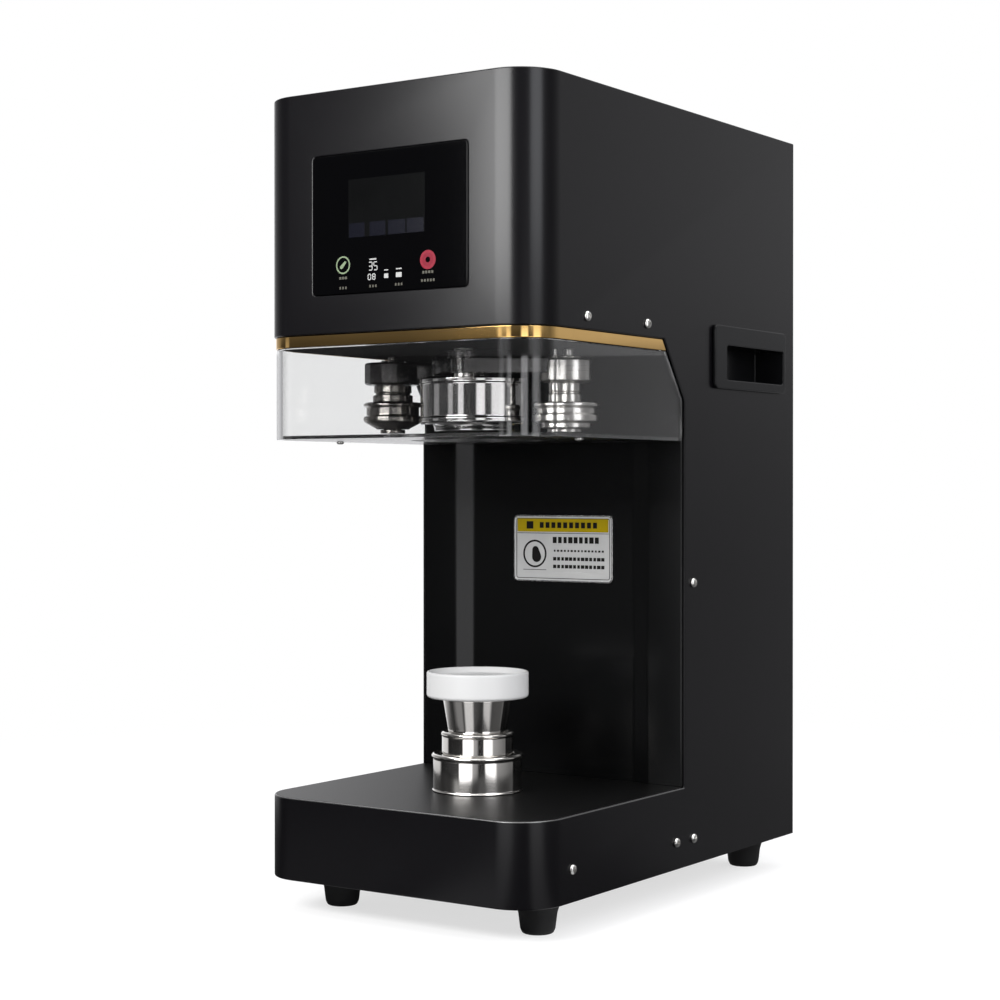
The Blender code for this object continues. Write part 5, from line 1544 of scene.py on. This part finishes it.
def make_stud(side_name, axis, steel):
    node = f"roller_stud_{side_name}"
    low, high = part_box(node)
    roller_low, roller_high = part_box(f"seaming_roller_{side_name}")
    boss_top, boss_bottom = BOSSES[side_name][1:3]
    neck = NECK_RADII[side_name]
    washer_bottom = TRIM_LOW - boss_top + GAP
    washer_top = washer_bottom + WASHER_THICKNESS
    head_top = roller_low.z - GAP
    neck_bottom = roller_high.z + GAP
    neck_top = TRIM_LOW - boss_bottom - GAP
    neck_middle = (neck_bottom + neck_top) / 2
    profile = [
        (0.0, high.z),
        (STUD_TIP_RADIUS, high.z),
        (STUD_TIP_RADIUS, washer_top),
        (WASHER_RADIUS, washer_top),
        (WASHER_RADIUS, washer_bottom),
        (STUD_RADIUS, washer_bottom),
        (STUD_RADIUS, neck_top),
        (neck * 0.94, neck_top),
        (neck * 0.94, neck_middle + 0.0008),
        (neck * 0.86, neck_middle + 0.0002),
        (neck * 0.86, neck_middle - 0.0006),
        (neck, neck_middle - 0.0012),
        (neck, neck_bottom),
        (STUD_RADIUS, neck_bottom),
        (STUD_RADIUS, head_top),
        (STUD_HEAD_RADIUS, head_top),
        (STUD_HEAD_RADIUS, low.z),
        (0.0, low.z),
    ]
    shaft = turned(f"stud_{side_name}", soften(profile, 0.0005, closed=False), axis, 96)
    combine(shaft, [hex_socket(low.z, *STUD_SOCKET, axis)])
    crease(shaft)
    hand_over(shaft, f"arm_{side_name}", "polished_steel", steel, node)


def make_roller(side_name, axis, steel):
    node = f"seaming_roller_{side_name}"
    low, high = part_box(node)
    radius = (high.x - low.x) / 2
    height = high.z - low.z
    bore = STUD_RADIUS + RUNNING_GAP
    profile = [(bore, high.z)]
    profile += [(radius * share, high.z - down * height) for share, down in ROLLER_PROFILES[side_name]]
    profile += [(radius * share, low.z + up) for share, up in ROLLER_FEET[side_name]]
    profile.append((bore, low.z))
    roller = turned(f"roller_{side_name}", soften(profile, 0.0006), axis, closed=True)
    hand_over(roller, f"roller_{side_name}", "polished_steel", steel, node)


def make_seaming_side(side_name, steel):
    axis = centre_of(f"roller_stud_{side_name}")
    make_arm(side_name, centre_of(f"arm_pivot_pin_{side_name}"), axis)
    make_stud(side_name, axis, steel)
    make_roller(side_name, axis, steel)


# ---------------------------------------------------------------- pieces kept from the frame
INNER_PIECES = (
    (FLOOR_COAT, ("head_floor_plate",)),
    (GLOSS_BLACK, ("touch_panel_housing",)),
    (SATIN_STEEL, ("turret_gear", "motor_pinion", "lift_screw")),
    (SATIN_STEEL, ("spindle_bearing_lower", "spindle_bearing_upper")),
    (POLISHED, ("chuck_post",)),
    (PLATED, ("spindle_housing", "drive_frame", "drive_motor", "lift_motor")),
    (CIRCUIT, ("control_board",)),
)


def paint_inner_pieces():
    for material, names in INNER_PIECES:
        for name in names:
            for material_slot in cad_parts[name].material_slots:
                material_slot.material = material


# ---------------------------------------------------------------- studio
# Softboxes: (name, azimuth, distance, level of the middle, width, height, power, tint).
SOFTBOXES = (
    ("key_softbox", -6.0, 0.99, 0.66, 0.70, 0.33, 12.7, (1.0, 1.0, 1.0)),
    ("side_softbox", 66.0, 1.2, 0.81, 0.55, 0.5, 4.0, (0.93, 0.95, 1.0)),
)

# Soft light from all round: (azimuth from the front in degrees, brightness).
FILL_RING = (
    (-180, 0.80), (-20, 0.75), (30, 0.90), (62, 1.90), (130, 1.90), (160, 0.90),
    (180, 0.80),
)

# What glossy surfaces see round the machine, by azimuth in the same way.
# The room shows well above the horizon, the bench's own light strips show just above it, and
# the table's light and dark sectors show below it.
ROOM_RING = (
    (-180, 0.8), (-150, 0.22), (-144, 0.46), (-138, 1.35), (-122, 1.0), (-112, 0.5),
    (-90, 0.30), (-70, 0.13), (-41, 0.13), (-36, 0.12), (-34, 0.20), (-30, 0.30),
    (-22, 1.15), (-13, 0.70), (-4, 0.85), (4, 0.42), (12, 0.18), (42, 0.16),
    (53, 0.26), (61, 0.78), (70, 0.98), (78, 0.98), (86, 0.70), (95, 0.32),
    (112, 0.18), (126, 0.36), (135, 0.54), (158, 0.64), (180, 0.8),
)
BENCH_RING = (
    (-180, 0.60), (-120, 0.70), (-90, 0.30), (-80, 0.05), (-63, 0.05), (-60, 0.50),
    (-50, 0.50), (-46, 0.05), (-26, 0.05), (-23, 0.80), (-16, 0.80), (-13, 0.04),
    (-4, 0.04), (-1, 1.60), (7, 1.60), (10, 0.03), (33, 0.03), (37, 2.20),
    (50, 2.20), (54, 0.03), (64, 0.04), (68, 1.80), (82, 1.80), (88, 0.06),
    (120, 0.20), (146, 0.30), (165, 0.40), (180, 0.60),
)
TABLE_RING = (
    (-180, 0.90), (-147, 1.10), (-80, 0.90), (-71, 0.02), (-15, 0.02), (-10, 2.90),
    (18, 2.90), (23, 0.60), (33, 0.40), (38, 0.02), (52, 0.02), (57, 2.70),
    (78, 2.70), (86, 0.50), (130, 0.20), (141, 0.24), (156, 0.24), (180, 0.90),
)
NEAR_TABLE_RING = (
    (-180, 0.25), (-60, 0.04), (-42, 0.28), (-24, 0.28), (-15, 0.04), (-8, 0.80),
    (16, 0.80), (23, 0.10), (52, 0.04), (58, 0.70), (76, 0.70), (86, 0.08),
    (125, 0.10), (140, 0.23), (156, 0.23), (180, 0.25),
)
NEAR_TABLE_EDGE = 0.50
FAR_TABLE_EDGE = 0.80
BENCH_TOP_HEIGHT = 0.065
CEILING_LEVEL = 5.0
CEILING_START = 0.70
CEILING_FULL = 0.88
RING_BLUE = 1.02

FLOOR_RADIUS = 30.0
FLOOR_DROP = 0.0001
FLOOR_GREY = 0.38
FLOOR_GLOW = 0.66
FLOOR_PLAIN_GREY = 0.62
SHADOW_EDGE = 0.3
WHITE_EDGE = 1.1


def grey(level):
    return (level, level, level, 1.0)


def maths(tree, operation, first, second):
    """A Math node on two sockets or numbers."""
    return add_node(tree, "ShaderNodeMath", {0: first, 1: second}, operation=operation).outputs["Value"]


def ranged(tree, value, start, end, **settings):
    """A value scaled so that it runs from 0 to 1 between two levels."""
    given = {"Value": value, "From Min": start, "From Max": end}
    return add_node(tree, "ShaderNodeMapRange", given, **settings).outputs["Result"]


def ring_light(tree, direction, ring):
    """Brightness by azimuth round the vertical axis, from a direction or a place."""
    parts = add_node(tree, "ShaderNodeSeparateXYZ", {"Vector": direction}).outputs
    azimuth = maths(tree, "ARCTAN2", parts["X"], maths(tree, "MULTIPLY", parts["Y"], -1.0))
    ramp = add_node(tree, "ShaderNodeValToRGB", {"Fac": ranged(tree, azimuth, -math.pi, math.pi)})
    stops = ramp.color_ramp.elements
    while len(stops) < len(ring):
        stops.new(0.5)
    for stop, (angle, level) in zip(stops, ring):
        stop.position = (angle + 180) / 360
        stop.color = (level, level, level * RING_BLUE, 1.0)
    return ramp.outputs["Color"]


def make_world():
    world = bpy.data.worlds.new("studio")
    bpy.context.scene.world = world
    world.use_nodes = True
    tree = world.node_tree
    tree.nodes.clear()
    path = add_node(tree, "ShaderNodeLightPath").outputs
    direction = add_node(tree, "ShaderNodeTexCoord").outputs["Generated"]
    height = add_node(tree, "ShaderNodeSeparateXYZ", {"Vector": direction}).outputs["Z"]
    above_bench = maths(tree, "GREATER_THAN", height, BENCH_TOP_HEIGHT)
    bench, room = (ring_light(tree, direction, ring) for ring in (BENCH_RING, ROOM_RING))
    around = mixed_colour(tree, above_bench, bench, room)
    ceiling = ranged(tree, height, CEILING_START, CEILING_FULL, interpolation_type="SMOOTHSTEP")
    studio = mixed_colour(tree, ceiling, around, grey(CEILING_LEVEL))
    after_gloss = maths(tree, "GREATER_THAN", path["Glossy Depth"], 0.5)
    seen = maths(tree, "MAXIMUM", path["Is Camera Ray"], path["Is Glossy Ray"])
    seen = maths(tree, "MAXIMUM", seen, path["Is Transmission Ray"])
    surroundings = mixed_colour(tree, after_gloss, grey(1.0), studio)
    level = mixed_colour(tree, seen, ring_light(tree, direction, FILL_RING), surroundings)
    background = add_node(tree, "ShaderNodeBackground", {"Color": level})
    add_node(tree, "ShaderNodeOutputWorld", {"Surface": background.outputs["Background"]})


def make_softbox(name, azimuth_deg, distance, centre_z, width, height, power, tint):
    angle = math.radians(azimuth_deg)
    lamp = bpy.data.lights.new(name, "AREA")
    lamp.shape = "RECTANGLE"
    lamp.size = width
    lamp.size_y = height
    lamp.energy = power
    lamp.color = tint
    obj = placed(name, lamp)
    obj.location = (distance * math.sin(angle), -distance * math.cos(angle), centre_z)
    obj.rotation_euler = (math.radians(90.0), 0.0, angle)
    obj.visible_camera = False


def mixed_shader(tree, factor, first, second):
    return add_node(tree, "ShaderNodeMixShader", {"Fac": factor, 1: first, 2: second}).outputs["Shader"]


def glowing(tree, **given):
    return add_node(tree, "ShaderNodeEmission", given).outputs["Emission"]


def matt(tree, level):
    return add_node(tree, "ShaderNodeBsdfDiffuse", {"Color": grey(level)}).outputs["BSDF"]


def floor_finish():
    """White far off, a shadowed pale grey near the machine, and the table's sectors in reflections."""
    material = bpy.data.materials.new("pale_floor")
    material.use_nodes = True
    tree = material.node_tree
    tree.nodes.clear()
    where = add_node(tree, "ShaderNodeTexCoord").outputs["Object"]
    distance = add_node(tree, "ShaderNodeVectorMath", {0: where}, operation="LENGTH").outputs["Value"]
    far = ranged(tree, distance, SHADOW_EDGE, WHITE_EDGE, interpolation_type="SMOOTHSTEP")
    near = add_node(tree, "ShaderNodeAddShader", {
        0: matt(tree, FLOOR_GREY),
        1: glowing(tree, Strength=FLOOR_GLOW),
    }).outputs["Shader"]
    shown = mixed_shader(tree, far, near, glowing(tree))

    from_lift = add_node(
        tree, "ShaderNodeMapping", {"Vector": where, "Location": (0.0, -AXIS_Y, 0.0)}
    ).outputs["Vector"]
    near_base = ranged(tree, distance, FAR_TABLE_EDGE, NEAR_TABLE_EDGE)
    table = ring_light(tree, from_lift, TABLE_RING)
    near_table = ring_light(tree, from_lift, NEAR_TABLE_RING)
    table_level = mixed_colour(tree, near_base, table, near_table)
    path = add_node(tree, "ShaderNodeLightPath").outputs
    after_gloss = maths(tree, "GREATER_THAN", path["Glossy Depth"], 0.5)
    seen = maths(tree, "MAXIMUM", path["Is Camera Ray"], path["Is Transmission Ray"])
    direct = mixed_shader(tree, seen, matt(tree, FLOOR_PLAIN_GREY), shown)
    in_gloss = maths(tree, "MULTIPLY", after_gloss, path["Is Glossy Ray"])
    whole = mixed_shader(tree, in_gloss, direct, glowing(tree, Color=table_level))
    add_node(tree, "ShaderNodeOutputMaterial", {"Surface": whole})
    return material


def make_floor():
    form = bmesh.new()
    bmesh.ops.create_circle(form, cap_ends=True, segments=64, radius=FLOOR_RADIUS)
    floor = mesh_object("floor", form)
    floor.location.z = -FLOOR_DROP
    floor.data.materials.append(floor_finish())


CAMERA_PLACE = (0.82246, -1.26082, 0.29538)
CAMERA_HEADING_DEG = 34.009
CAMERA_TILT_DEG = -0.331
CAMERA_LENS = 73.155
CAMERA_SHIFT_X = -0.00975


def make_camera():
    camera = bpy.data.cameras.new("camera")
    camera.lens = CAMERA_LENS
    camera.sensor_width = 36.0
    camera.shift_x = CAMERA_SHIFT_X
    camera.clip_start = 0.05
    camera.clip_end = 60.0
    obj = placed("camera", camera)
    obj.location = CAMERA_PLACE
    obj.rotation_euler = (math.radians(90.0 + CAMERA_TILT_DEG), 0.0, math.radians(CAMERA_HEADING_DEG))
    bpy.context.scene.camera = obj


def make_studio():
    bpy.context.scene.view_settings.view_transform = "Standard"
    make_world()
    for softbox in SOFTBOXES:
        make_softbox(*softbox)
    make_floor()


make_camera()
make_studio()
make_shell()
make_deck()
make_column()
make_rear()
make_side_screws()
make_guard()
make_guard_screws()
make_feet()
make_handle("left", -1)
make_handle("right", 1)
make_touch_panel()
make_data_plate()
make_power_inlet()
make_collar()
make_sleeve()
make_piston()
make_tray()
make_chuck()
make_turret()
make_pivot_pin("left")
make_pivot_pin("right")
make_seaming_side("left", OILED_STEEL)
make_seaming_side("right", SATIN_STEEL)
paint_inner_pieces()
